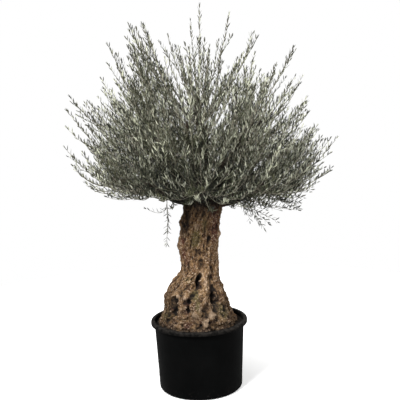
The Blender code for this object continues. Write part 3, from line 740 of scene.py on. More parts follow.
def mottle_group():
    """Patches of one colour in another, by noise. The mask is 0 for the first colour and 1 for the second."""
    if "Mottle" in bpy.data.node_groups:
        return bpy.data.node_groups["Mottle"]
    tree, start, end = shader_group(
        "Mottle",
        [
            ("Vector", "Vector", None),
            ("Scale", "Float", 10.0),
            ("Detail", "Float", 4.0),
            ("Low", "Float", 0.4),
            ("High", "Float", 0.6),
            ("First", "Color", (0, 0, 0, 1)),
            ("Second", "Color", (1, 1, 1, 1)),
        ],
        [("Colour", "Color"), ("Mask", "Float")],
    )
    mask = ranged(tree, group_noise(tree, start, 0.6), start.outputs["Low"], start.outputs["High"])
    feed(tree, end.inputs["Colour"], mixed(tree, mask, start.outputs["First"], start.outputs["Second"]))
    feed(tree, end.inputs["Mask"], mask)
    return tree


def relief_group():
    """Fine relief, by noise, on top of a normal."""
    if "Fine relief" in bpy.data.node_groups:
        return bpy.data.node_groups["Fine relief"]
    tree, start, end = shader_group(
        "Fine relief",
        [
            ("Vector", "Vector", None),
            ("Scale", "Float", 100.0),
            ("Detail", "Float", 3.0),
            ("Depth", "Float", 0.001),
            ("Normal", "Vector", None),
        ],
        [("Normal", "Vector")],
    )
    depth, normal = start.outputs["Depth"], start.outputs["Normal"]
    bump = place(tree, "Bump", Height=group_noise(tree, start, 0.65), Distance=depth, Normal=normal)
    feed(tree, end.inputs["Normal"], bump.outputs["Normal"])
    return tree


def use_group(tree, group, **values):
    """A node group placed in a material, with its inputs given by name."""
    made = tree.nodes.new("ShaderNodeGroup")
    made.node_tree = group
    for name, value in values.items():
        feed(tree, made.inputs[name], value)
    return made


def mottled(tree, where, scale, detail, low, high, first=None, second=None):
    """Mottled patches placed in a material, as their colour and their mask."""
    colours = {"First": plain(first), "Second": plain(second)} if first is not None else {}
    span = {"Low": low, "High": high}
    made = use_group(tree, mottle_group(), Vector=where, Scale=scale, Detail=detail, **span, **colours)
    return made.outputs["Colour"], made.outputs["Mask"]


def relief(tree, where, scale, detail, depth, **below):
    """Fine relief placed in a material, as a normal. It may lie on another one, given as Normal."""
    made = use_group(tree, relief_group(), Vector=where, Scale=scale, Detail=detail, Depth=depth, **below)
    return made.outputs["Normal"]


def new_material(name, ior_level):
    """A material with its tree, its shader and the object's own coordinates."""
    material = bpy.data.materials.new(name)
    material.use_nodes = True
    tree = material.node_tree
    shader = tree.nodes["Principled BSDF"]
    shader.inputs["Specular IOR Level"].default_value = ior_level
    return material, tree, shader, place(tree, "TexCoord").outputs["Object"]


def coat(tree, shader, colour, roughness, normal):
    """Give a shader its colour, its roughness and its normal."""
    for name, value in (("Base Color", colour), ("Roughness", roughness), ("Normal", normal)):
        feed(tree, shader.inputs[name], value)


def height_of(tree, where):
    """The height in object coordinates."""
    return place(tree, "SeparateXYZ", Vector=where).outputs["Z"]


def plastic_material(pot):
    """Matt black plastic, faintly clouded, with soil dust on the lip and scuffs near the ground."""
    material, tree, shader, where = new_material("black plastic", 0.025)
    cloud, cloudy = mottled(tree, where, 7.0, 6.0, 0.35, 0.75, pot.plastic, toned(pot.plastic, 1.7))
    height = height_of(tree, where)
    lip = ranged(tree, height, POT_HEIGHT - POT_LIP_DROP - 0.004, POT_HEIGHT)
    _, speckle = mottled(tree, where, 45.0, 8.0, 0.38, 0.72)
    colour = mixed(tree, scaled(tree, lip, speckle), cloud, plain(pot.dust))
    foot = ranged(tree, height, 0.07, 0.0)
    _, scuffs = mottled(tree, where, 90.0, 5.0, 0.58, 0.68)
    worn = scaled(tree, scaled(tree, foot, scuffs), 0.5)
    colour = mixed(tree, worn, colour, plain(pot.dust))
    roughness = ranged(tree, cloudy, 0, 1, pot.roughness - 0.06, pot.roughness + 0.1)
    coat(tree, shader, colour, roughness, relief(tree, where, 420.0, 2.0, 0.00022))
    return material


def soil_material(name, soil, crumb_scale):
    """Dark potting soil with drier patches and pale grains."""
    material, tree, shader, where = new_material(name, 0.2)
    patches, drier = mottled(tree, where, crumb_scale, 7.0, 0.36, 0.66, soil.damp, soil.dry)
    grains = place(tree, "TexVoronoi", Vector=where, Scale=260.0)
    bright = ranged(tree, grains.outputs["Distance"], 0.16, 0.05)
    _, some = mottled(tree, where, 120.0, 2.0, 0.52, 0.6)
    colour = mixed(tree, scaled(tree, bright, some), patches, plain(toned(soil.dry, 3.2)))
    roughness = ranged(tree, drier, 0, 1, 0.72, 0.97)
    coat(tree, shader, colour, roughness, relief(tree, where, 210.0, 5.0, 0.003))
    return material


def layer_of(tree, name, output="Fac"):
    """A layer of the bark's mesh, as a value or a vector."""
    return place(tree, "Attribute", attribute_name=name).outputs[output]


def patched(tree, tone, grain, strength):
    """Where a tone of the trunk shows, and how strongly: its patches, with edges broken up by a grain."""
    patch = layer_of(tree, tone)
    broken = scaled(tree, patch, ranged(tree, grain, 0.0, 1.0, -0.35, 0.45), "ADD")
    share = scaled(tree, ranged(tree, broken, 0.30, 0.75), ranged(tree, patch, 0.05, 0.30))
    return scaled(tree, share, strength)


def pressed_along(tree, vector, factor):
    """Coordinates pressed together along the trunk by a factor, so that a texture on them is drawn out."""
    return place(tree, "Mapping", Vector=vector, Scale=(1.0, 1.0, factor)).outputs["Vector"]


def bark_material(trunk):
    """Old olive bark: ochre and brown fibres, dark cracks, red, mossy and worn patches, painted shade in the
    hollows and at the head, and painted highlights on the knobs.
    """
    material, tree, shader, where = new_material("bark", 0.25)
    hollow, height = layer_of(tree, "hollow"), height_of(tree, where)
    fibres = pressed_along(tree, layer_of(tree, "flow", "Vector"), FIBRE_STRETCH)
    pressed = pressed_along(tree, where, BARK_STRETCH)
    colour, ochre = mottled(tree, fibres, 88.0, 7.0, 0.38, 0.62, trunk.brown, trunk.ochre)
    blotch = place(tree, "TexNoise", Vector=pressed, Scale=60.0, Detail=5.0, Roughness=0.65).outputs["Fac"]
    cracks = place(tree, "TexNoise", Vector=fibres, Scale=44.0, Detail=6.0, Roughness=0.6).outputs["Fac"]
    off_middle = scaled(tree, scaled(tree, cracks, 0.5, "SUBTRACT"), 0.0, "ABSOLUTE")
    # Dark cracks, fuller where the bark lies deep: real cracks with painted shade in the hollows
    crack_and_hollow_shade = scaled(tree, ranged(tree, off_middle, 0.030, 0.006), ranged(tree, hollow, 0.30, 0.55, 0.35, 1.0))
    # Dark flecks all over, more of them where the bark lies deep: painted shade in the hollows
    _, flecks = mottled(tree, pressed, 88.0, 7.0, 0.50, 0.57)
    flecks_and_hollow_shade = scaled(tree, flecks, ranged(tree, hollow, 0.30, 0.60, 0.35, 1.0))
    # Pale specks on the raised bark and pale worn patches: partly wear, partly a painted highlight on the
    # knobs and ridges
    _, specks = mottled(tree, pressed, 125.0, 5.0, 0.53, 0.60)
    worn = scaled(tree, specks, ranged(tree, hollow, 0.56, 0.26, 0.10, 0.90))
    worn_and_highlight_patch = patched(tree, "worn", blotch, ranged(tree, hollow, 0.70, 0.30, 0.1, 0.55))
    # Painted shade under the crown: the bark darkens up towards the trunk's head
    head = ranged(tree, height, 0.985, 1.07, 0.0, 0.93)
    # Darker towards the foot, and darker still towards the soil
    foot = ranged(tree, height, 0.70, 0.50, 0.0, 0.46)
    darker_to_soil = ranged(tree, height, 0.42, 0.375, 0.0, 0.6)
    # Painted shade in the hollows, by the bark's depth
    shade = ranged(tree, hollow, 0.50, 0.86, 0.0, 0.94)
    for share, tone in (
        (patched(tree, "red", blotch, 0.85), trunk.red),
        (patched(tree, "moss", blotch, 0.75), trunk.moss),
        (scaled(tree, crack_and_hollow_shade, ranged(tree, height, 0.64, 0.74, 0.85, 0.40)), trunk.dark),
        (scaled(tree, flecks_and_hollow_shade, 0.85), trunk.dark),
        (scaled(tree, worn, worn_and_highlight_patch, "MAXIMUM"), trunk.pale),
        (head, trunk.dark),
        (patched(tree, "dark", blotch, 0.85), trunk.dark),
        (foot, trunk.dark),
        (darker_to_soil, trunk.dark),
        (shade, trunk.dark),
    ):
        colour = mixed(tree, share, colour, plain(tone))
    coarse = relief(tree, fibres, 150.0, 5.0, 0.012)
    fine = relief(tree, pressed, 330.0, 4.0, 0.004, Normal=coarse)
    coat(tree, shader, colour, ranged(tree, ochre, 0, 1, 0.95, 0.66), fine)
    return material


def twig_material(name, colour, scale):
    """Thin bark with lighter and darker flecks."""
    material, tree, shader, where = new_material(name, 0.3)
    flecks, _ = mottled(tree, where, scale, 4.0, 0.35, 0.65, toned(colour, 0.6), toned(colour, 1.3))
    coat(tree, shader, flecks, 0.8, relief(tree, where, 2.0 * scale, 3.0, 0.0012))
    return material


def leaf_material(name, colour, finish):
    """A leaf's upper or lower side: one colour, a little lighter and darker from place to place."""
    roughness, ior_level = finish
    material, tree, shader, where = new_material(name, ior_level)
    tint, lighter = mottled(tree, where, 70.0, 2.0, 0.3, 0.7, toned(colour, 0.82), toned(colour, 1.18))
    dulled = ranged(tree, lighter, 0, 1, roughness - 0.06, roughness + 0.08)
    coat(tree, shader, tint, dulled, relief(tree, where, 650.0, 2.0, 0.0006))
    return material


def direction(bearing, elevation):
    """The unit vector at a bearing and an elevation in degrees."""
    turn, rise = math.radians(bearing), math.radians(elevation)
    return Vector((math.cos(turn) * math.cos(rise), math.sin(turn) * math.cos(rise), math.sin(rise)))


def between(table, at, column=1):
    """A column of a table, read at one or many values of its first column, in straight lines between rows."""
    rows = np.array(table)
    return np.interp(at, rows[:, 0], rows[:, column])


def turn_between(a, b):
    """The angle from bearing b to bearing a in degrees, from -180 to 180."""
    return (a - b + 180.0) % 360.0 - 180.0


def link(name, data):
    """A new object of the scene with a mesh, a light or a camera."""
    made = bpy.data.objects.new(name, data)
    bpy.context.scene.collection.objects.link(made)
    return made


def object_from(bm, name, material):
    """The bmesh as an object of one material, smooth, with its normals outwards."""
    bmesh.ops.recalc_face_normals(bm, faces=bm.faces)
    mesh = bpy.data.meshes.new(name)
    bm.to_mesh(mesh)
    bm.free()
    mesh.materials.append(material)
    mesh.shade_smooth()
    return link(name, mesh)


def hand_over(piece, slot, *nodes):
    """Let a piece ride with the plant and stand for its nodes. The slot is not used."""
    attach(piece, "root")
    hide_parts(*nodes)


def bell(*shares):
    """How far something swells at places that lie these shares of its size away from its middle."""
    return np.exp(-sum(share**2 for share in shares))


def arc(middle_r, middle_z, radius, start, end, points=9):
    """Points of a rounded corner of a turned profile, between two angles in degrees."""
    angles = [math.radians(start + (end - start) * i / (points - 1)) for i in range(points)]
    return [(middle_r + radius * math.cos(a), middle_z + radius * math.sin(a)) for a in angles]


def turned(profile, steps):
    """A bmesh turned about the vertical axis from a profile of (radius, height) points, from axis to axis."""
    bm = bmesh.new()
    corners = [bm.verts.new((radius, 0.0, height)) for radius, height in profile]
    edges = [bm.edges.new(pair) for pair in zip(corners, corners[1:])]
    circle = {"cent": (0, 0, 0), "axis": (0, 0, 1), "angle": 2 * math.pi, "use_merge": True}
    bmesh.ops.spin(bm, geom=corners + edges, steps=steps, **circle)
    bmesh.ops.remove_doubles(bm, verts=bm.verts, dist=0.00001)
    return bm


def wall_radius(height):
    """The pot's outer wall radius at a height."""
    share = (height - POT_BASE_ROUND) / (POT_HEIGHT - POT_LIP_DROP - POT_BASE_ROUND)
    return POT_BASE_RADIUS + (POT_WALL_TOP_RADIUS - POT_BASE_RADIUS) * share


def pot_profile():
    """The pot's section: inside up to the rolled lip, round its hollow underside, then down the wall."""
    lip_in = POT_RIM_RADIUS - POT_LIP_ROUND
    lip_bottom = POT_HEIGHT - POT_LIP_DROP
    wall_top = wall_radius(POT_HEIGHT)
    base_middle = POT_BASE_RADIUS - POT_BASE_ROUND
    inner_round = POT_BASE_ROUND - POT_WALL
    bead = POT_WALL / 2
    under_lip = POT_HEIGHT - 2 * POT_WALL
    step = lip_bottom - POT_STEP_DROP
    above, below = step + POT_STEP_HALF, step - POT_STEP_HALF
    profile = [(0.0, POT_FLOOR)]
    profile += arc(base_middle, POT_FLOOR + inner_round, inner_round, -90, 0)
    profile += [(wall_radius(height) - POT_WALL, height) for height in INNER_LEVELS]
    profile += arc(wall_top - POT_WALL + bead, POT_HEIGHT - bead, bead, 180, 90, 4)
    profile += arc(lip_in, POT_HEIGHT - POT_LIP_ROUND, POT_LIP_ROUND, 90, 0, 12)
    profile += arc(POT_RIM_RADIUS - bead, lip_bottom + bead, bead, 0, -180, 7)
    profile += [(POT_RIM_RADIUS - POT_WALL, under_lip), (wall_top, under_lip)]
    profile += [(wall_radius(above), above), (wall_radius(step) - POT_STEP, below)]
    profile += [(wall_radius(height) - POT_STEP, height) for height in OUTER_LEVELS]
    profile += arc(base_middle, POT_BASE_ROUND, POT_BASE_ROUND, -8, -90, 12)
    profile += [(0.0, 0.0)]
    return profile


def soil_height(x, y, lump):
    """How far the soil's surface stands above or below its level at a place."""
    coarse = noise.fractal(Vector((x, y, 0.0)) / LUMP_SIZE, 0.7, 2.1, 4)
    crumbs = CELL_MIDDLE - noise.voronoi(Vector((x, y, 3.0)) / CRUMB_SIZE)[0][0]
    return lump * (LUMP_SHARE * coarse + CRUMB_SHARE * crumbs)


def build_soil(soil, material):
    """The soil: a body that fills the pot, with a lumpy top."""
    base_middle = POT_BASE_RADIUS - POT_BASE_ROUND
    inner_round = POT_BASE_ROUND - POT_WALL
    floor = POT_FLOOR + SOIL_GAP
    edge = wall_radius(SOIL_TOP) - POT_WALL - SOIL_GAP
    profile = [(edge * ring / SOIL_RINGS, SOIL_TOP) for ring in range(SOIL_RINGS + 1)]
    profile += arc(base_middle - SOIL_GAP, floor + inner_round, inner_round, 0, -90, 5)
    profile += [(0.0, floor)]
    bm = turned(profile, SOIL_STEPS)
    for corner in bm.verts:
        if corner.co.z > SOIL_TOP - 0.001:
            held = min((edge - corner.co.xy.length) / SOIL_EDGE, 1.0)
            corner.co.z += held * soil_height(corner.co.x, corner.co.y, soil.lump)
    return object_from(bm, "soil_surface", material)


def build_crumbs(soil, materials):
    """Loose crumbs of soil and a few small stones round the trunk's foot, as one piece."""
    rule = random.Random("crumbs")
    bm = bmesh.new()
    for number in range(soil.stones):
        bearing = rule.uniform(0, 360)
        inner = float(trunk_reach(bearing, SOIL_TOP)) - CRUMB_TRUNK_REACH
        outer = wall_radius(SOIL_TOP) - POT_WALL - CRUMB_WALL_GAP
        if inner > outer:
            continue
        reach = rule.uniform(inner, outer)
        size = rule.uniform(*CRUMB_RADII)
        x, y = reach * math.cos(math.radians(bearing)), reach * math.sin(math.radians(bearing))
        middle = Vector((x, y, SOIL_TOP + soil_height(x, y, soil.lump) + CRUMB_LIFT * size))
        factors = [rule.uniform(*span) for span in (CRUMB_WIDTHS, CRUMB_WIDTHS, CRUMB_HEIGHTS)]
        turn = Euler([rule.uniform(0, 6) for _ in range(3)]).to_matrix().to_4x4()
        spot = Matrix.Translation(middle) @ turn @ Matrix.Diagonal((*factors, 1.0))
        crumb = bmesh.ops.create_icosphere(bm, subdivisions=1, radius=size, matrix=spot)
        for face in {face for corner in crumb["verts"] for face in corner.link_faces}:
            face.material_index = int(number % STONE_EVERY == 0)
    piece = object_from(bm, "soil_crumbs", materials[0])
    piece.data.materials.append(materials[1])
    piece.data.set_sharp_from_angle(angle=math.radians(SHARP_CRUMB))
    return piece


def trunk_reach(bearing, height):
    """How far the part's trunk reaches from its middle line at one or many bearings and heights."""
    reach = between(TRUNK_LINE, height)
    for at, foot, top, half_width, square in BUTTRESSES:
        rise = np.clip((height - SOIL_TOP) / (top - SOIL_TOP), 0.0, 1.0)
        reach = reach + foot * bell(turn_between(bearing, at) / half_width) * (1.0 - rise**square)
    for at, middle, swell, size in BURLS:
        reach = reach + swell * bell(*spot_shares(bearing, height, reach, at, middle, size, size))
    reach = foot_forms(bearing, height, reach)
    ribs = 0
    for count, turn, strength in RIBS:
        ribs = ribs + strength * np.sin(np.radians(count * bearing) + turn * height)
    return reach * (1.0 + RIB_DEPTH * ribs)


def spot_shares(bearing, height, reach, at, middle, half_width, half_height):
    """How far places on the trunk lie from a spot, round it and up it, as shares of the spot's half sizes."""
    along = np.radians(turn_between(bearing, at)) * reach
    return along / half_width, (height - middle) / half_height


def strand_distance(bearing, height, reach, points):
    """How far places on the trunk lie from a strand, measured over the unrolled bark."""
    nearest = np.full(np.shape(height), 1.0)
    for (from_bearing, from_height), (to_bearing, to_height) in zip(points, points[1:]):
        along = np.radians(turn_between(bearing, from_bearing)) * reach
        up = height - from_height
        step_along = np.radians(turn_between(to_bearing, from_bearing)) * reach
        step_up = to_height - from_height
        share = np.clip((along * step_along + up * step_up) / (step_along**2 + step_up**2), 0.0, 1.0)
        nearest = np.minimum(nearest, np.hypot(along - share * step_along, up - share * step_up))
    return nearest


def foot_forms(bearing, height, reach):
    """The trunk's reach with the strands and the hollows of its foot."""
    for swell, half_width, points in STRANDS:
        reach = reach + swell * bell(strand_distance(bearing, height, reach, points) / half_width)
    for at, middle, fall, half_width, half_height in HOLLOWS:
        along, up = spot_shares(bearing, height, reach, at, middle, half_width, half_height)
        reach = reach + fall * bell(along**2 + up**2)
    return reach


def flow_bearing(bearing, height):
    """The bearing that the fibres at places on the trunk come down from, along the strands of the foot."""
    lines = [STRANDS[number][2] for number in FLOW_STRANDS]
    lines.append(tuple((at + 360, level) for at, level in lines[0]))
    nows, tops = [], []
    for points in lines:
        bearings, levels = np.unwrap([at for at, _ in points], period=360), [level for _, level in points]
        while tops and bearings[0] < tops[-1]:
            bearings = bearings + 360
        nows.append(np.interp(height, levels[::-1], bearings[::-1]))
        tops.append(bearings[0])
    turned_to = nows[0] + (bearing - nows[0]) % 360
    source = np.array(turned_to)
    for low, high, low_top, high_top in zip(nows, nows[1:], tops, tops[1:]):
        share = (turned_to - low) / (high - low)
        source = np.where((share >= 0) & (share < 1), low_top + share * (high_top - low_top), source)
    return source


def tone_at(patches, bearing, height, reach):
    """How strongly a tone's patches show at places on the trunk."""
    share = np.zeros(np.shape(height))
    for *patch, strength in patches:
        share = np.maximum(share, strength * bell(*spot_shares(bearing, height, reach, *patch)))
    return share


def marks_at(bearing, height, reach):
    """The rise or fall of the bark's folds and marks at places on the trunk."""
    rise = np.zeros(np.shape(height))
    for at, middle, swell, half_width, half_height in MARKS:
        rise = rise + swell * bell(*spot_shares(bearing, height, reach, at, middle, half_width, half_height))
    for swell, half_width, points in FOLDS:
        rise = rise + swell * bell(strand_distance(bearing, height, reach, points) / half_width)
    return rise


def frames_along(middles):
    """A frame at each middle point of a limb, with Z along it, carried on without a twist."""
    last = len(middles) - 1
    across = (middles[1] - middles[0]).orthogonal()
    frames = []
    for i, middle in enumerate(middles):
        heading = (middles[min(i + 1, last)] - middles[max(i - 1, 0)]).normalized()
        across = (across - heading * across.dot(heading)).normalized()
        turn = Matrix((across, heading.cross(across), heading)).transposed().to_4x4()
        frames.append(Matrix.Translation(middle) @ turn)
    return frames


def add_limb(bm, stations, sides):
    """A closed limb through (middle, radius) stations: a disc whose rim is extruded to each."""
    frames = frames_along([Vector(middle) for middle, _ in stations])
    radii = [radius for _, radius in stations]
    disc = bmesh.ops.create_circle(bm, cap_ends=True, segments=sides, radius=radii[0], matrix=frames[0])
    rim = disc["verts"][0].link_faces[0].edges[:]
    for i in range(1, len(stations)):
        grown = bmesh.ops.extrude_edge_only(bm, edges=rim)["geom"]
        ring = [piece for piece in grown if isinstance(piece, bmesh.types.BMVert)]
        rim = [piece for piece in grown if isinstance(piece, bmesh.types.BMEdge)]
        step = frames[i] @ Matrix.Scale(radii[i] / radii[i - 1], 4) @ frames[i - 1].inverted()
        bmesh.ops.transform(bm, matrix=step, verts=ring)
    bmesh.ops.edgeloop_fill(bm, edges=rim)


def rows_of(items, field):
    """A field of a mesh's corners or of their normals, as an array of rows."""
    values = np.zeros(len(items) * 3, np.float32)
    items.foreach_get(field, values)
    return values.reshape(-1, 3).astype(float)


def trunk_form():
    """The bole with its strands and marks, and every stub and bough, as one overlapping bmesh."""
    bm = bmesh.new()
    bottom, top = SOIL_TOP - FOOT_DEPTH, TRUNK_LINE[-1][0]
    heights = [bottom + (top - bottom) * ring / TRUNK_RINGS for ring in range(TRUNK_RINGS + 1)]
    add_limb(bm, [((0, 0, height), 0.1) for height in heights], TRUNK_SIDES)
    corners = list(bm.verts)
    places = np.array([corner.co for corner in corners])
    bearing, height = np.degrees(np.arctan2(places[:, 1], places[:, 0])), places[:, 2]
    reach = trunk_reach(bearing, np.maximum(height, SOIL_TOP))
    reach = reach + marks_at(bearing, height, reach) - BARK_SINK
    turn, shift = np.radians(bearing), between(TRUNK_LINE, height, 2)
    placed = np.stack([shift + reach * np.cos(turn), reach * np.sin(turn), height], axis=1)
    for corner, spot in zip(corners, placed):
        corner.co = spot
    for mass in MASSES:
        if not is_hanging(mass):
            heading = mass_line(mass)
            stub_end = HEAD + heading * STUB_REACH
            stations = [(HEAD, STUB_SWELL * mass.stub_radius), (stub_end, mass.stub_radius)]
            if mass.bough_length:
                stations += bough_line(mass)[1:]
            add_limb(bm, stations, LIMB_SIDES)
    return bm


def bark_rise(place, flow):
    """The heights of the bark's ridges, knobs, grain and pits at a place, the ridges along its fibres."""
    fibres = Vector((flow[0], flow[1], flow[2] * RIDGE_STRETCH))
    bent = fibres / RIDGE_SIZE + RIDGE_WAVER * noise.noise_vector(Vector(place) / RIDGE_WAVER_SIZE)
    ridge = noise.ridged_multi_fractal(bent, 0.9, 2.1, 4, 1.0, 2.0)
    knob = CELL_MIDDLE - noise.voronoi(Vector(place) / KNOB_SIZE)[0][0]
    grain = noise.fractal(Vector(place) / GRAIN_SIZE, 0.6, 2.0, 2)
    distances, centres = noise.voronoi(Vector(place) / PIT_SPACING)
    pitted = noise.cell(Vector(centres[0]) * 7.3) < PIT_SHARE
    pit = math.exp(-((distances[0] * PIT_SPACING / PIT_RADIUS) ** 2)) if pitted else 0.0
    return ridge, knob, grain, pit


def bark_height(trunk, places, flow, on_limb):
    """How far the bark stands out at the trunk's corners, rougher at its foot and smoother on the limbs."""
    noise.seed_set(WAVER_SEED)
    rises = np.array([bark_rise(place, fibre) for place, fibre in zip(places, flow)])
    foot = np.clip((ROUGH_FOOT - places[:, 2]) / (ROUGH_FOOT - SOIL_TOP), 0.0, 1.0)
    ridge = (rises[:, 0] - rises[:, 0].mean()) / rises[:, 0].std()
    knobs = 2.0 * trunk.knob * rises[:, 1] * (COLUMN_KNOBS + (1.0 - COLUMN_KNOBS) * foot)
    rise = trunk.ridge * np.clip(ridge, -RIDGE_LIMIT, RIDGE_LIMIT) + knobs
    rise = rise + trunk.grain * rises[:, 2] - trunk.pit * rises[:, 3]
    return rise * np.where(on_limb, LIMB_RELIEF, 1.0 + FOOT_ROUGHNESS * foot)


def with_modifiers(piece):
    """Put a piece's modifiers into its mesh, and give that mesh."""
    graph = bpy.context.evaluated_depsgraph_get()
    graph.update()
    piece.data = bpy.data.meshes.new_from_object(piece.evaluated_get(graph))
    piece.modifiers.clear()
    return piece.data


def even_skin(piece, step):
    """Remesh a piece of overlapping forms into one even skin, and settle it."""
    skin = piece.modifiers.new("skin", "REMESH")
    skin.mode = "VOXEL"
    skin.voxel_size = step
    settle = piece.modifiers.new("settle", "SMOOTH")
    settle.factor = 0.5
    settle.iterations = 2
    return with_modifiers(piece)


def thin_out(piece, spare, kept):
    """Give up faces round the spare corners of a piece, until a share of all its faces is left."""
    group = piece.vertex_groups.new(name="spare")
    group.add([int(number) for number in np.flatnonzero(spare)], 1.0, "ADD")
    thin = piece.modifiers.new("thin", "DECIMATE")
    thin.ratio = kept
    thin.vertex_group = group.name
    mesh = with_modifiers(piece)
    piece.vertex_groups.clear()
    mesh.shade_smooth()


def build_trunk(trunk, material):
    """The trunk and boughs in one skin: the form is remeshed evenly and its bark raised along the normals."""
    piece = object_from(trunk_form(), "trunk_bark", material)
    mesh = even_skin(piece, trunk.step)
    mesh.materials.clear()
    mesh.materials.append(material)
    places, normals = rows_of(mesh.vertices, "co"), rows_of(mesh.vertex_normals, "vector")
    height = places[:, 2]
    shift = between(TRUNK_LINE, height, 2)
    bearing = np.degrees(np.arctan2(places[:, 1], places[:, 0] - shift))
    reach = trunk_reach(bearing, np.maximum(height, SOIL_TOP))
    on_limb = np.hypot(places[:, 0] - shift, places[:, 1]) > reach + LIMB_CLEARANCE
    source = np.radians(flow_bearing(bearing, height))
    flow = np.stack([FLOW_RADIUS * np.cos(source), FLOW_RADIUS * np.sin(source), height], axis=1)
    flow = np.where(on_limb[:, None], places, flow)
    rise = bark_height(trunk, places, flow, on_limb)
    mesh.vertices.foreach_set("co", (places + normals * rise[:, None]).astype(np.float32).ravel())
    forms = foot_forms(bearing, height, reach) - reach + marks_at(bearing, height, reach)
    forms = np.where(on_limb, 0.0, forms)
    depth = DEPTH_MIDDLE - rise / DEPTH_RELIEF
    depth = depth - np.minimum(forms, 0.0) / DEPTH_HOLLOW - np.maximum(forms, 0.0) / DEPTH_STRAND
    layers = {"hollow": depth}
    for tone, patches in TONES.items():
        # The limbs take the dark tone in full: painted shade under the crown
        layers[tone] = np.where(on_limb, tone == "dark", tone_at(patches, bearing, height, reach))
    for name, values in layers.items():
        layer = mesh.attributes.new(name, "FLOAT", "POINT")
        layer.data.foreach_set("value", np.clip(values, 0.0, 1.0).astype(np.float32))
    layer = mesh.attributes.new("flow", "FLOAT_VECTOR", "POINT")
    layer.data.foreach_set("vector", flow.astype(np.float32).ravel())
    mesh.update()
    thin_out(piece, on_limb, BARK_KEPT)
    return piece


def is_hanging(mass):
    """True for the small masses that hang below the crown."""
    return mass.name.startswith("hanging")


def mass_line(mass):
    """The unit vector from the head along the middle of a mass."""
    return direction(mass.bearing, mass.elevation)


def bough_line(mass):
    """The middle line of a mass's bough, straight on from its stub, as (middle, radius) stations."""
    heading, length = mass_line(mass), mass.bough_length
    start = HEAD + heading * (STUB_REACH + GAP)
    return [(start + heading * length * share, mass.stub_radius * girth) for share, girth in BOUGH_GIRTH]


def mass_root(mass):
    """Where a mass's stem starts, the way it heads there and its radius."""
    heading = mass_line(mass)
    if mass.bough_length:
        end, radius = bough_line(mass)[-1]
        return end + heading * GAP, heading, radius
    return HEAD + heading * (STUB_REACH + GAP), heading, mass.stub_radius


def mass_at(point):
    """The mass whose share of the crown a point lies in."""
    offset = (point - HEAD).normalized()
    return max(MASSES, key=lambda mass: offset.dot(mass_line(mass)))


def in_space(mass, point, margin):
    """True if a point lies in the mass's own share of the crown, by a margin from its neighbours' shares."""
    offset = point - HEAD
    return all(offset.dot(across) >= margin for across in PARTINGS[mass.name])


def partings(mass):
    """The directions across the planes that part a mass from every other."""
    return [(mass_line(mass) - mass_line(other)).normalized() for other in MASSES if other is not mass]


PARTINGS = {mass.name: partings(mass) for mass in MASSES}


def clear_of_trunk(point, clearance):
    """True if a point is outside the trunk by a clearance, or above it."""
    if point.z > TRUNK_LINE[-1][0] + clearance:
        return True
    level = Vector((point.x - between(TRUNK_LINE, point.z, 2), point.y))
    bearing = math.degrees(math.atan2(level.y, level.x))
    return level.length >= trunk_reach(bearing, point.z) + clearance


def halton(index, base):
    """The low-discrepancy Halton number of an index."""
    share, value = 1.0, 0.0
    while index:
        share /= base
        value += share * (index % base)
        index //= base
    return value


def reach_to(heading):
    """How far from the head the crown reaches in a direction: between its left and its right outline."""
    elevation = math.degrees(math.asin(max(-1.0, min(1.0, heading.z))))
    rightness = 0.5 + 0.5 * math.cos(math.atan2(heading.y, heading.x))
    left = between(LEFT_OUTLINE, elevation)
    return left + (between(RIGHT_OUTLINE, elevation) - left) * rightness


def leading_tips(mass):
    """The tips of a mass's leading shoots: those of the crown's outline that lie in its share."""
    tips = []
    for side, outline in ((-1, LEFT_OUTLINE), (1, RIGHT_OUTLINE)):
        for i, (elevation, reach) in enumerate(outline):
            tip = HEAD + direction(90 - 90 * side + LEADER_TURN * (-1) ** i, elevation) * reach
            if mass_at(tip) is mass:
                tips.append(tip)
    return tips


def whip_to(mass, tip, rule):
    """A whip from a mass's stem to its tip, as (start, bend, tip), lower on the stem the wider it leans."""
    root, ahead, _ = mass_root(mass)
    length = (tip - HEAD).length
    heading = (tip - HEAD) / length
    lean = math.degrees(heading.angle(ahead)) / WHIP_SPREAD
    share = STRAIGHT_START - START_DROP * lean + rule.uniform(-START_STRAY, START_STRAY)
    start = root + ahead * STEM_LENGTH * min(max(share, LOWEST_START), HIGHEST_START)
    gone = (start - HEAD).length
    bend = HEAD + heading * (gone + WHIP_TURN * (length - gone))
    level = Vector((heading.x, heading.y, 0))
    bend.z -= min(WHIP_SAG * level.length**2, SAG_SHARE * max(tip.z - HEAD.z, 0.0))
    return start, bend, tip


def leaders_of(mass, rule):
    """A mass's leading whips, which draw the crown's outline."""
    whips = []
    for tip in leading_tips(mass):
        while not in_space(mass, tip, TIP_MARGIN):
            tip = tip.lerp(HEAD + mass_line(mass) * (tip - HEAD).length, DRAW_IN)
        whip = whip_to(mass, tip, rule)
        if (tip - whip[0]).length > SHORTEST_SHOOT * SPRAY_LENGTH:
            whips.append(whip)
    return whips


def hanging_whips(mass):
    """The whips that hang below the crown. Each arches from near one place to its own tip."""
    start, (out, rise), tips = HANGING_WHIPS[mass.name]
    whips = []
    for number, tip in enumerate(tips):
        aside, below = HANGING_SPREAD * (number % 3 - 1), HANGING_DROP * (number % 4)
        root = Vector(start) + Vector((0.0, aside, -below))
        whips.append((root, root + Vector((out, 0.5 * (tip[1] - root.y), rise)), Vector(tip)))
    return whips


def lowest_elevation(heading):
    """The lowest elevation that the crown grows to in the bearing of a heading."""
    return float(between(UNDERSIDE, math.degrees(math.atan2(heading.y, heading.x)) % 360))


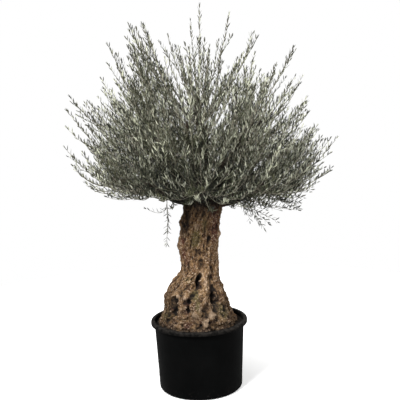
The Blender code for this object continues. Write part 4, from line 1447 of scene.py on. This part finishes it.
def whips_between(mass, wanted, rule):
    """The other whips of a mass, spread over its share by the part's seeded rule, drawn in under the brow."""
    own = mass_line(mass)
    side = own.orthogonal().normalized()
    spread = math.radians(WHIP_SPREAD)
    whips = []
    for i in range(1, TRIES_PER_WHIP * wanted):
        tilt = math.acos(1.0 - halton(i, 2) * (1.0 - math.cos(spread)))
        across = Matrix.Rotation(2 * math.pi * halton(i, 3), 3, own) @ side
        heading = own * math.cos(tilt) + across * math.sin(tilt)
        tip = HEAD + heading * reach_to(heading) * rule.uniform(SHORTEST_WHIP, LONGEST_WHIP)
        start, bend, tip = whip_to(mass, tip, rule)
        if heading.z < math.sin(math.radians(lowest_elevation(heading) + rule.uniform(*LOW_STRAY))):
            continue
        if heading.z < LOW_WHIPS and rule.random() < LOW_WHIPS_LOST:
            continue
        if (tip - start).length < SHORTEST_SHOOT * SPRAY_LENGTH:
            continue
        if not in_space(mass, tip, -CROSSING) or not clear_of_trunk(tip, TIP_CLEARANCE):
            continue
        whip = under_brow(start, bend, tip, rule.uniform(*WHIP_BROW))
        if whip:
            whips.append(whip)
        if len(whips) == wanted:
            break
    return whips


def seen_from_front(point):
    """Where a point shows from the front: its angle round the head, anticlockwise from +X, and its reach."""
    away = CAMERA_PLACE[1] / (CAMERA_PLACE[1] - point.y)
    x = point.x * away - HEAD.x
    z = CAMERA_PLACE[2] + (point.z - CAMERA_PLACE[2]) * away - HEAD.z
    angle = math.degrees(math.atan2(z, x))
    return (angle if angle > -90.0 else angle + 360.0), math.hypot(x, z)


def under_brow(start, bend, tip, share):
    """The shoot, shortened until its tip shows within a share of the brow's reach, or nothing."""
    for _ in range(BROW_TRIES):
        angle, reach = seen_from_front(tip)
        if reach <= share * between(BROW, angle):
            return start, bend, tip
        bend, tip = start.lerp(bend, BROW_STEP), start.lerp(tip, BROW_STEP)
    return None


Shoot = namedtuple("Shoot", "start bend tip radius bare kind waver twist leaf step")


def new_shoot(mass, line, radius, bare, rule, kind):
    """A shoot on a line of start, bend and tip, with its own waver, its twist and the scale of its leaves."""
    waver = Vector([rule.uniform(-1, 1) for _ in range(3)]) * WAVER * (line[2] - line[0]).length
    twist = Vector([rule.uniform(-1, 1) for _ in range(3)]).normalized()
    leaf, step = (HANGING_LEAF, HANGING_STEP) if is_hanging(mass) else (1.0, 1.0)
    return Shoot(*line, radius, bare, kind, waver, twist, leaf, step)


def on_line(line, share):
    """The point at a share of the way along a bent line."""
    start, bend, tip = line
    return start * (1 - share) ** 2 + bend * 2 * share * (1 - share) + tip * share**2


def leaf_kind(rule, shares=LEAF_SHARES):
    """One of the kinds of leaf, dealt out by its share."""
    return rule.choices(range(len(shares)), shares)[0]


def fits(mass, tip):
    """True if a shoot's tip keeps to the crown: by its own mass, off the trunk and above the underside."""
    offset = tip - HEAD
    if not in_space(mass, tip, -CROSSING) or not clear_of_trunk(tip, TIP_CLEARANCE):
        return False
    lowest = math.radians(lowest_elevation(offset) - LOW_SLACK)
    above = offset.z >= offset.length * math.sin(lowest)
    return above and offset.length < reach_to(offset.normalized())


def side_shoots(mass, whip, leading, step, kind, rule):
    """Shoots that leave a whip on all sides in turn and bend back along it, finer than the part's."""
    length = (whip[2] - whip[0]).length
    first = LEADER_SIDE_FIRST if leading else SIDE_FIRST
    leans, lengths = (LEADER_SIDE_LEAN, LEADER_SIDE_LENGTH) if leading else (SIDE_LEAN, SIDE_LENGTH)
    count = max(int(length * (SIDE_LAST - first) / step), 1)
    spin = rule.uniform(0, 360)
    shoots = []
    for i in range(count):
        share = first + (SIDE_LAST - first) * (i + rule.random()) / count
        root = on_line(whip, share)
        along = (on_line(whip, share + WAY_STEP) - root).normalized()
        across = along.orthogonal().normalized()
        across.rotate(Matrix.Rotation(math.radians(spin + GOLDEN_TURN * i), 3, along))
        lean = math.radians(rule.uniform(*leans))
        out = along * math.cos(lean) + across * math.sin(lean)
        reach = min(max(length * (1 - share) * rule.uniform(*lengths), SHORTEST_SIDE), LONGEST_SIDE)
        bend = root + out * 0.5 * reach
        tip = bend + (out + along * SIDE_RETURN + Vector((0, 0, SIDE_LIFT))).normalized() * 0.5 * reach
        brow = LEADER_BROW if leading else rule.uniform(*SIDE_BROW)
        line = under_brow(root, bend, tip, brow)
        low = (tip.z - HEAD.z) / (tip - HEAD).length < LOW_SIDES
        if line and fits(mass, line[2]) and not (low and rule.random() < LOW_LOST):
            tone = kind if rule.random() < SAME_KIND else leaf_kind(rule)
            shoots.append(new_shoot(mass, line, SIDE_RADIUS, SIDE_BARE, rule, tone))
    return shoots


def head_shoots(mass, wanted, rule):
    """Short leafy shoots from a mass's bough and stem, which hide the limbs about the head."""
    root, ahead, _ = mass_root(mass)
    first = HEAD + ahead * STUB_REACH * HEAD_SHOOTS_FROM
    last = root + ahead * STEM_LENGTH * HEAD_SHOOTS_TO
    shoots = []
    for _ in range(wanted):
        start = first.lerp(last, rule.random())
        across = ahead.orthogonal().normalized()
        across.rotate(Matrix.Rotation(rule.uniform(0, 2 * math.pi), 3, ahead))
        lean = math.radians(rule.uniform(*HEAD_SHOOT_LEAN))
        heading = ahead * math.cos(lean) + across * math.sin(lean)
        length = rule.uniform(*HEAD_SHOOT_LENGTH)
        bend = start + heading * 0.5 * length
        tip = bend + (heading + Vector((0, 0, HEAD_SHOOT_LIFT))).normalized() * 0.5 * length
        line = under_brow(start, bend, tip, 1.0)
        if line and fits(mass, line[2]):
            kind = leaf_kind(rule, HEAD_LEAF_SHARES)
            shoots.append(new_shoot(mass, line, SIDE_RADIUS, HEAD_BARE, rule, kind))
    return shoots


def grow(mass, crown):
    """All the shoots of a mass: whips, and their side shoots with the short shoots about the head."""
    rule = random.Random(f"whips {mass.name}")
    if is_hanging(mass):
        lines = hanging_whips(mass)
        return [new_shoot(mass, line, SIDE_RADIUS, WHIP_BARE, rule, leaf_kind(rule)) for line in lines], []
    leaders = leaders_of(mass, rule)
    others = whips_between(mass, crown.whips - len(leaders), rule)
    rule = random.Random(f"shoots {mass.name}")
    whips, sides = [], []
    for number, whip in enumerate(leaders + others):
        leading = number < len(leaders)
        kind = leaf_kind(rule)
        whips.append(new_shoot(mass, whip, WHIP_RADIUS, WHIP_BARE, rule, kind))
        sides += side_shoots(mass, whip, leading, crown.side_step, kind, rule)
    sides += head_shoots(mass, crown.head_shoots, rule)
    return whips, sides


def line_points(shoot, shares):
    """Places along a shoot at shares of it, as rows."""
    start, bend, tip, waver = (np.array(part) for part in (shoot.start, shoot.bend, shoot.tip, shoot.waver))
    s = np.asarray(shares)[:, None]
    swing = np.sin(3 * math.pi * s) * (1 - s)
    return start * (1 - s) ** 2 + bend * 2 * s * (1 - s) + tip * s**2 + waver * swing


def unit(rows):
    """Rows scaled to unit length."""
    return rows / np.linalg.norm(rows, axis=-1, keepdims=True)


def leaf_frames(shoot, crown, rule):
    """The leaves of a shoot, in pairs set crosswise: roots, headings, upward normals, lengths and curls."""
    length = np.linalg.norm(np.array(shoot.tip) - np.array(shoot.start))
    leaf = shoot.leaf * crown.leaf_length
    last = 1.0 - LAST_BACK * LAST_LEAF * leaf / length
    count = max(int(length * (last - shoot.bare) / (shoot.step * crown.leaf_step)), 2)
    shares = shoot.bare + (last - shoot.bare) * (np.arange(count) + PAIR_PLACE) / count
    shares = np.append(shares, last)
    places = line_points(shoot, shares)
    along = unit(line_points(shoot, shares + LEAF_WAY_STEP) - line_points(shoot, shares - LEAF_WAY_STEP))
    across = unit(np.cross(along, np.array(shoot.twist)))
    up = np.cross(along, across)
    turns = rule.uniform(0, 360) + 90.0 * np.arange(len(shares)) + rule.normal(0, PAIR_STRAY, len(shares))
    turns = np.radians(turns)[:, None]
    sides = across * np.cos(turns) + up * np.sin(turns)
    sides = np.concatenate([sides, -sides])
    places, along, shares = np.tile(places, (2, 1)), np.tile(along, (2, 1)), np.tile(shares, 2)
    outer = np.clip((shares - shoot.bare) / (1.0 - shoot.bare), 0.0, 1.0)
    at_tip = shares == last
    lean = LEAF_LEAN[0] + (LEAF_LEAN[1] - LEAF_LEAN[0]) * outer + rule.normal(0, LEAF_STRAY, len(outer))
    lean = np.where(at_tip, math.radians(LAST_LEAN), np.radians(lean))[:, None]
    rising = np.where(at_tip, 0.0, np.clip(1.0 + RISE_FADE * along[:, 2], 0.0, 1.0))
    rising = np.array([0.0, 0.0, LEAF_RISE]) * rising[:, None]
    heading = unit(along * np.cos(lean) + sides * np.sin(lean) + rising)
    normal = along * np.sin(lean) - sides * np.cos(lean)
    twist = np.radians(rule.normal(0, LEAF_TWIST, len(outer)))[:, None]
    normal = normal * np.cos(twist) + np.cross(heading, normal) * np.sin(twist)
    normal = normal + np.array([0.0, 0.0, LEAF_LIFT])
    normal = unit(normal - heading * (normal * heading).sum(axis=1, keepdims=True))
    young = 1.0 - TIP_LOSS * np.clip((outer - TIP_FROM) / TIP_SPAN, 0.0, 1.0)
    young = young - START_LOSS * np.clip((START_SPAN - outer) / START_SPAN, 0.0, 1.0)
    lengths = np.where(at_tip, LAST_LEAF, young * rule.uniform(*LEAF_SIZES, len(outer))) * leaf
    curls = np.where(at_tip, 0.0, rule.uniform(*LEAF_CURL, len(outer)))
    kept = at_tip | (rule.random(len(outer)) > LEAVES_LOST)
    return [rows[kept] for rows in (places, heading, normal, lengths, curls)]


def off_trunk(points):
    """True for the rows that lie outside the trunk or above its head."""
    shift = between(TRUNK_LINE, points[:, 2], 2)
    x, y = points[:, 0] - shift, points[:, 1]
    near = trunk_reach(np.degrees(np.arctan2(y, x)), np.clip(points[:, 2], SOIL_TOP, None))
    return (points[:, 2] > TRUNK_LINE[-1][0]) | (np.hypot(x, y) > near + LEAF_CLEARANCE)


def mesh_from(name, corners, faces, materials):
    """A smooth mesh from arrays: corners, and by size of face (rows of corner numbers, material numbers)."""
    rings = np.concatenate([rows.ravel() for rows, _ in faces])
    sizes = np.concatenate([np.full(len(rows), rows.shape[1]) for rows, _ in faces])
    tones = np.concatenate([kinds for _, kinds in faces])
    mesh = bpy.data.meshes.new(name)
    mesh.vertices.add(len(corners))
    mesh.vertices.foreach_set("co", corners.astype(np.float32).ravel())
    mesh.loops.add(len(rings))
    mesh.loops.foreach_set("vertex_index", rings.astype(np.int32))
    mesh.polygons.add(len(sizes))
    mesh.polygons.foreach_set("loop_start", (np.cumsum(sizes) - sizes).astype(np.int32))
    for material in materials:
        mesh.materials.append(material)
    mesh.polygons.foreach_set("material_index", tones.astype(np.int32))
    mesh.update(calc_edges=True)
    mesh.validate()
    mesh.shade_smooth()
    return mesh


def leaf_tones(kinds, roots, rule):
    """The leaves' upper and lower materials, with painted shade: dark and dim in the crown's heart and low
    down, often dark or dim at its edge.
    """
    away = np.linalg.norm(roots - np.array(HEAD), axis=1)
    low = np.interp(roots[:, 2], (SHADED_HEIGHT, CLEAR_HEIGHT), (1.0, 0.0))
    near = np.clip(SHADED_SLOPE * (1.0 - away / SHADED_REACH), 0.0, 1.0)
    shaded = rule.random(len(kinds)) < SHADED_LEAVES * np.maximum(near, low)
    edge = np.interp(away, EDGE_REACH, (0.0, 1.0))
    uppers = np.where(shaded | (rule.random(len(kinds)) < EDGE_DARK * edge), 0, kinds)
    return uppers, len(LEAF_KINDS) + (shaded | (rule.random(len(kinds)) < EDGE_DIM * edge))


def leaf_mesh(name, shoots, crown, rule, materials):
    """The leaves of many shoots in one mesh: a raised upper side of the shoot's kind, or dark as painted
    shade, and a flat underside, silvery or dim as painted shade.
    """
    grown = [(leaf_frames(shoot, crown, rule), shoot.kind) for shoot in shoots]
    leaves = [np.concatenate([rows[i] for rows, _ in grown]) for i in range(5)]
    leaves.append(np.concatenate([np.full(len(rows[0]), kind) for rows, kind in grown]))
    middles, tips = (leaves[0] + leaves[1] * share * leaves[3][:, None] for share in (0.5, 1.0))
    kept = off_trunk(tips) & off_trunk(middles)
    roots, headings, normals, lengths, curls, kinds = (rows[kept] for rows in leaves)
    uppers, unders = leaf_tones(kinds, roots, rule)
    across = np.cross(normals, headings)
    widths = crown.leaf_width * (lengths / crown.leaf_length) ** WIDTH_POWER
    pattern = np.array(LEAF_CORNERS)
    corners = roots[:, None] + headings[:, None] * (pattern[:, 0] * lengths[:, None])[..., None]
    corners = corners + across[:, None] * (pattern[:, 1] * widths[:, None])[..., None]
    rise = pattern[:, 2] * widths[:, None] - pattern[:, 0] ** 2 * (curls * lengths)[:, None]
    corners = corners + normals[:, None] * rise[..., None]
    first = (np.arange(len(roots)) * len(pattern))[:, None, None]
    faces = []
    for rows, tones in (
        (LEAF_TOP, uppers),
        (LEAF_UNDER, unders),
        (LEAF_TOP_LONG, uppers),
        (LEAF_UNDER_LONG, unders),
    ):
        numbers = (first + np.array(rows)[None]).reshape(-1, len(rows[0]))
        faces.append((numbers, np.repeat(tones, len(rows))))
    mesh = mesh_from(name, corners.reshape(-1, 3), faces, materials)
    mesh.set_sharp_from_angle(angle=math.radians(SHARP_LEAF))
    return mesh


def tube_arrays(lines, radii, sides, first, tone):
    """Closed tubes along lines of as many points each: corners, and faces that number them on from first."""
    count, stations = lines.shape[:2]
    along = unit(np.gradient(lines, axis=1))
    across = unit(np.cross(along, AWAY_FROM_TWIGS))
    up = np.cross(along, across)
    turns = 2 * math.pi * np.arange(sides) / sides
    ring = across[:, :, None] * np.cos(turns)[:, None] + up[:, :, None] * np.sin(turns)[:, None]
    corners = lines[:, :, None] + ring * radii[:, :, None, None]
    tube = first + np.arange(count)[:, None, None] * stations * sides
    rung = tube + (np.arange(stations - 1) * sides)[None, :, None]
    low = rung + np.arange(sides)
    high = rung + (np.arange(sides) + 1) % sides
    walls = np.stack([low, high, high + sides, low + sides], axis=-1).reshape(-1, 4)
    starts = (tube[:, 0] + np.arange(sides)[::-1]).reshape(-1, sides)
    ends = (tube[:, 0] + (stations - 1) * sides + np.arange(sides)).reshape(-1, sides)
    caps = np.concatenate([starts, ends])
    return corners.reshape(-1, 3), [(rows, np.full(len(rows), tone)) for rows in (walls, caps)]


def tapered(shoots, stations, sides, first, tone):
    """The tubes of many shoots, thinner to the tip."""
    shares = np.linspace(0.0, 1.0, stations)
    lengths = [max((shoot.tip - shoot.start).length, SHORT_SHOOT) for shoot in shoots]
    ends = [1.0 - WOOD_SHORT * PART_LEAF / length for length in lengths]
    lines = np.array([line_points(shoot, shares * end) for shoot, end in zip(shoots, ends)])
    base = np.array([shoot.radius for shoot in shoots])[:, None]
    radii = base + (SHOOT_TIP_RADIUS - base) * shares
    return tube_arrays(lines, radii, sides, first, tone)


def stem_arrays(mass):
    """A mass's stem, with a slight sway: its corners and its faces."""
    root, ahead, radius = mass_root(mass)
    shares = np.linspace(-STEM_BACK, 1.0, STEM_STATIONS)
    sway = np.array(ahead.orthogonal().normalized()) * (STEM_SWAY * np.sin(STEM_TURNS * shares))[:, None]
    stem = np.array(root) + np.array(ahead) * (STEM_LENGTH * shares)[:, None] + sway
    girth = np.linspace(radius, max(radius * STEM_TAPER, WHIP_RADIUS) * STEM_TIP, STEM_STATIONS)
    return tube_arrays(stem[None], girth[None], STEM_SIDES, 0, 0)


def twig_mesh(name, mass, whips, sides, materials):
    """A mass's stem, whips and side shoots in one mesh. A hanging mass has whips alone."""
    corners, faces = (np.zeros((0, 3)), []) if is_hanging(mass) else stem_arrays(mass)
    for shoots, stations, around, tone in (
        (whips, WHIP_STATIONS, WHIP_SIDES, 1),
        (sides, SIDE_STATIONS, SIDE_SIDES, 2),
    ):
        if shoots:
            more, added = tapered(shoots, stations, around, len(corners), tone)
            corners = np.concatenate([corners, more])
            faces = faces + added
    return mesh_from(name, corners, faces, materials)


class OLIVE_OT_pot(bpy.types.Operator):
    """Turn the black plastic pot with its rolled lip"""

    bl_idname = "olive.pot"
    bl_label = "Pot"

    def execute(self, context):
        pot = context.scene.olive_pot
        piece = object_from(turned(pot_profile(), pot.steps), "pot_shell", plastic_material(pot))
        piece.data.set_sharp_from_angle(angle=math.radians(SHARP_POT))
        hand_over(piece, "pot", "pot")
        return {"FINISHED"}


class OLIVE_OT_soil(bpy.types.Operator):
    """Fill the pot with soil and scatter crumbs on it"""

    bl_idname = "olive.soil"
    bl_label = "Soil"

    def execute(self, context):
        soil = context.scene.olive_soil
        earth = soil_material("soil", soil, 55.0)
        stone = soil_material("pale crumbs", soil, 300.0)
        hand_over(build_soil(soil, earth), "soil", "soil")
        hand_over(build_crumbs(soil, (earth, stone)), "soil", "soil")
        return {"FINISHED"}


class OLIVE_OT_trunk(bpy.types.Operator):
    """Model the trunk and the boughs in one skin of bark"""

    bl_idname = "olive.trunk"
    bl_label = "Trunk and boughs"

    def execute(self, context):
        trunk = context.scene.olive_trunk
        boughs = [f"bough_{mass.name}" for mass in MASSES if mass.bough_length]
        hand_over(build_trunk(trunk, bark_material(trunk)), "bark", "trunk", *boughs)
        return {"FINISHED"}


class OLIVE_OT_crown(bpy.types.Operator):
    """Grow the twigs and leaves of every mass of foliage"""

    bl_idname = "olive.crown"
    bl_label = "Twigs and leaves"

    def execute(self, context):
        crown = context.scene.olive_crown
        barks = [
            twig_material("branch bark", crown.branch, 60.0),
            twig_material("whip bark", crown.whip, 160.0),
            twig_material("shoot skin", crown.shoot, 200.0),
        ]
        blades = [leaf_material(f"{kind} leaf", getattr(crown, kind), UPPER_FINISH) for kind in LEAF_KINDS]
        blades.append(leaf_material("leaf underside", crown.under, UNDER_FINISH))
        # The dim underside is painted shade
        blades.append(leaf_material("dim leaf underside", crown.dim, DIM_FINISH))
        for number, mass in enumerate(MASSES):
            whips, sides = grow(mass, crown)
            rule = np.random.default_rng(LEAF_SEED + number)
            twigs, leaves, node = f"twigs_{mass.name}", f"leaves_{mass.name}", f"foliage_{mass.name}"
            hand_over(link(twigs, twig_mesh(twigs, mass, whips, sides, barks)), "bark", node)
            mesh = leaf_mesh(leaves, whips + sides, crown, rule, blades)
            hand_over(link(leaves, mesh), "foliage", node)
        return {"FINISHED"}


class OLIVE_OT_stage(bpy.types.Operator):
    """Set the pale floor, the soft lamps, the white surroundings and the camera"""

    bl_idname = "olive.stage"
    bl_label = "Stage"

    def execute(self, context):
        scene = context.scene
        stage = scene.olive_stage
        add_floor(stage)
        for name, spot, diameter in LAMPS:
            add_lamp(f"{name} lamp", spot, diameter, getattr(stage, name))
        add_surroundings(scene, stage)
        scene.camera = add_camera()
        scene.view_settings.view_transform = "Standard"
        return {"FINISHED"}


def add_floor(stage):
    """The pale floor, just under the pot. The camera sees it nearly white, and it throws less light back."""
    material, tree, shader, where = new_material("pale floor", 0.1)
    tint, _ = mottled(tree, where, 3.0, 2.0, 0.3, 0.7, stage.floor, toned(stage.floor, 0.99))
    seen = place(tree, "LightPath").outputs["Is Camera Ray"]
    feed(tree, shader.inputs["Base Color"], mixed(tree, seen, plain(stage.bounce), tint))
    shader.inputs["Roughness"].default_value = 0.9
    shader.inputs["Emission Color"].default_value = WHITE
    distance = place(tree, "VectorMath", operation="LENGTH")
    feed(tree, distance.inputs[0], where)
    glow = ranged(tree, distance.outputs["Value"], *GLOW_REACH, FLOOR_GLOW, 1.0)
    feed(tree, shader.inputs["Emission Strength"], scaled(tree, glow, seen))
    bm = bmesh.new()
    low = Matrix.Translation((0, 0, -FLOOR_DROP))
    bmesh.ops.create_circle(bm, cap_ends=True, segments=FLOOR_SIDES, radius=stage.floor_radius, matrix=low)
    object_from(bm, "floor", material)


def add_lamp(name, spot, diameter, power):
    """A round soft lamp that shines on the crown."""
    light = bpy.data.lights.new(name, "AREA")
    light.shape = "DISK"
    light.size = diameter
    light.energy = power
    lamp = link(name, light)
    lamp.location = spot
    lamp.rotation_euler = (Vector(LAMP_AIM) - Vector(spot)).to_track_quat("-Z", "Y").to_euler()


def add_surroundings(scene, stage):
    """A white room: the camera sees it full white, and it lights the plant softly, less so from below."""
    world = bpy.data.worlds.new("white room")
    scene.world = world
    world.use_nodes = True
    tree = world.node_tree
    lit = tree.nodes["Background"]
    lit.inputs["Color"].default_value = WHITE
    towards = height_of(tree, place(tree, "TexCoord").outputs["Generated"])
    feed(tree, lit.inputs["Strength"], ranged(tree, towards, -0.1, 0.1, stage.low_sky, stage.sky))
    seen = place(tree, "Background", Color=WHITE, Strength=1.0)
    choice = tree.nodes.new("ShaderNodeMixShader")
    by_camera = place(tree, "LightPath").outputs["Is Camera Ray"]
    for socket, value in zip(choice.inputs, (by_camera, lit.outputs[0], seen.outputs[0])):
        feed(tree, socket, value)
    feed(tree, tree.nodes["World Output"].inputs["Surface"], choice.outputs[0])


def add_camera():
    """The photograph's camera."""
    data = bpy.data.cameras.new("camera")
    data.sensor_width = SENSOR_WIDTH
    data.lens = FOCAL_PIXELS / PICTURE_SIDE * SENSOR_WIDTH
    camera = link("camera", data)
    tip = Euler((math.radians(90 + CAMERA_TIP), 0, math.radians(CAMERA_TURN))).to_matrix().to_4x4()
    roll = Matrix.Rotation(math.radians(CAMERA_ROLL), 4, "Z")
    camera.matrix_world = Matrix.Translation(CAMERA_PLACE) @ tip @ roll
    return camera


class OLIVE_PT_parts(bpy.types.Panel):
    """Lists the pieces of the olive bonsai and their settings"""

    bl_label = "Olive bonsai"
    bl_space_type = "VIEW_3D"
    bl_region_type = "UI"
    bl_category = "Olive bonsai"

    def draw(self, context):
        layout = self.layout
        for operator, settings in PARTS:
            box = layout.box()
            box.operator(operator.bl_idname)
            group = getattr(context.scene, settings)
            for name in group.bl_rna.properties.keys():
                if name not in ("rna_type", "name"):
                    box.prop(group, name)


PARTS = (
    (OLIVE_OT_stage, "olive_stage"),
    (OLIVE_OT_pot, "olive_pot"),
    (OLIVE_OT_soil, "olive_soil"),
    (OLIVE_OT_trunk, "olive_trunk"),
    (OLIVE_OT_crown, "olive_crown"),
)
SETTINGS = {
    "olive_stage": OliveStageSettings,
    "olive_pot": OlivePotSettings,
    "olive_soil": OliveSoilSettings,
    "olive_trunk": OliveTrunkSettings,
    "olive_crown": OliveCrownSettings,
}


def register():
    """Register the settings, the operators and the panel."""
    for name, settings in SETTINGS.items():
        bpy.utils.register_class(settings)
        setattr(bpy.types.Scene, name, PointerProperty(type=settings))
    for operator, _ in PARTS:
        bpy.utils.register_class(operator)
    bpy.utils.register_class(OLIVE_PT_parts)


def unregister():
    """Take the panel, the operators and the settings away again."""
    bpy.utils.unregister_class(OLIVE_PT_parts)
    for operator, _ in PARTS:
        bpy.utils.unregister_class(operator)
    for name, settings in SETTINGS.items():
        delattr(bpy.types.Scene, name)
        bpy.utils.unregister_class(settings)


def main():
    """Register the classes and make every piece in order."""
    register()
    bpy.ops.olive.stage()
    bpy.ops.olive.pot()
    bpy.ops.olive.soil()
    bpy.ops.olive.trunk()
    bpy.ops.olive.crown()


if __name__ == "__main__":
    main()
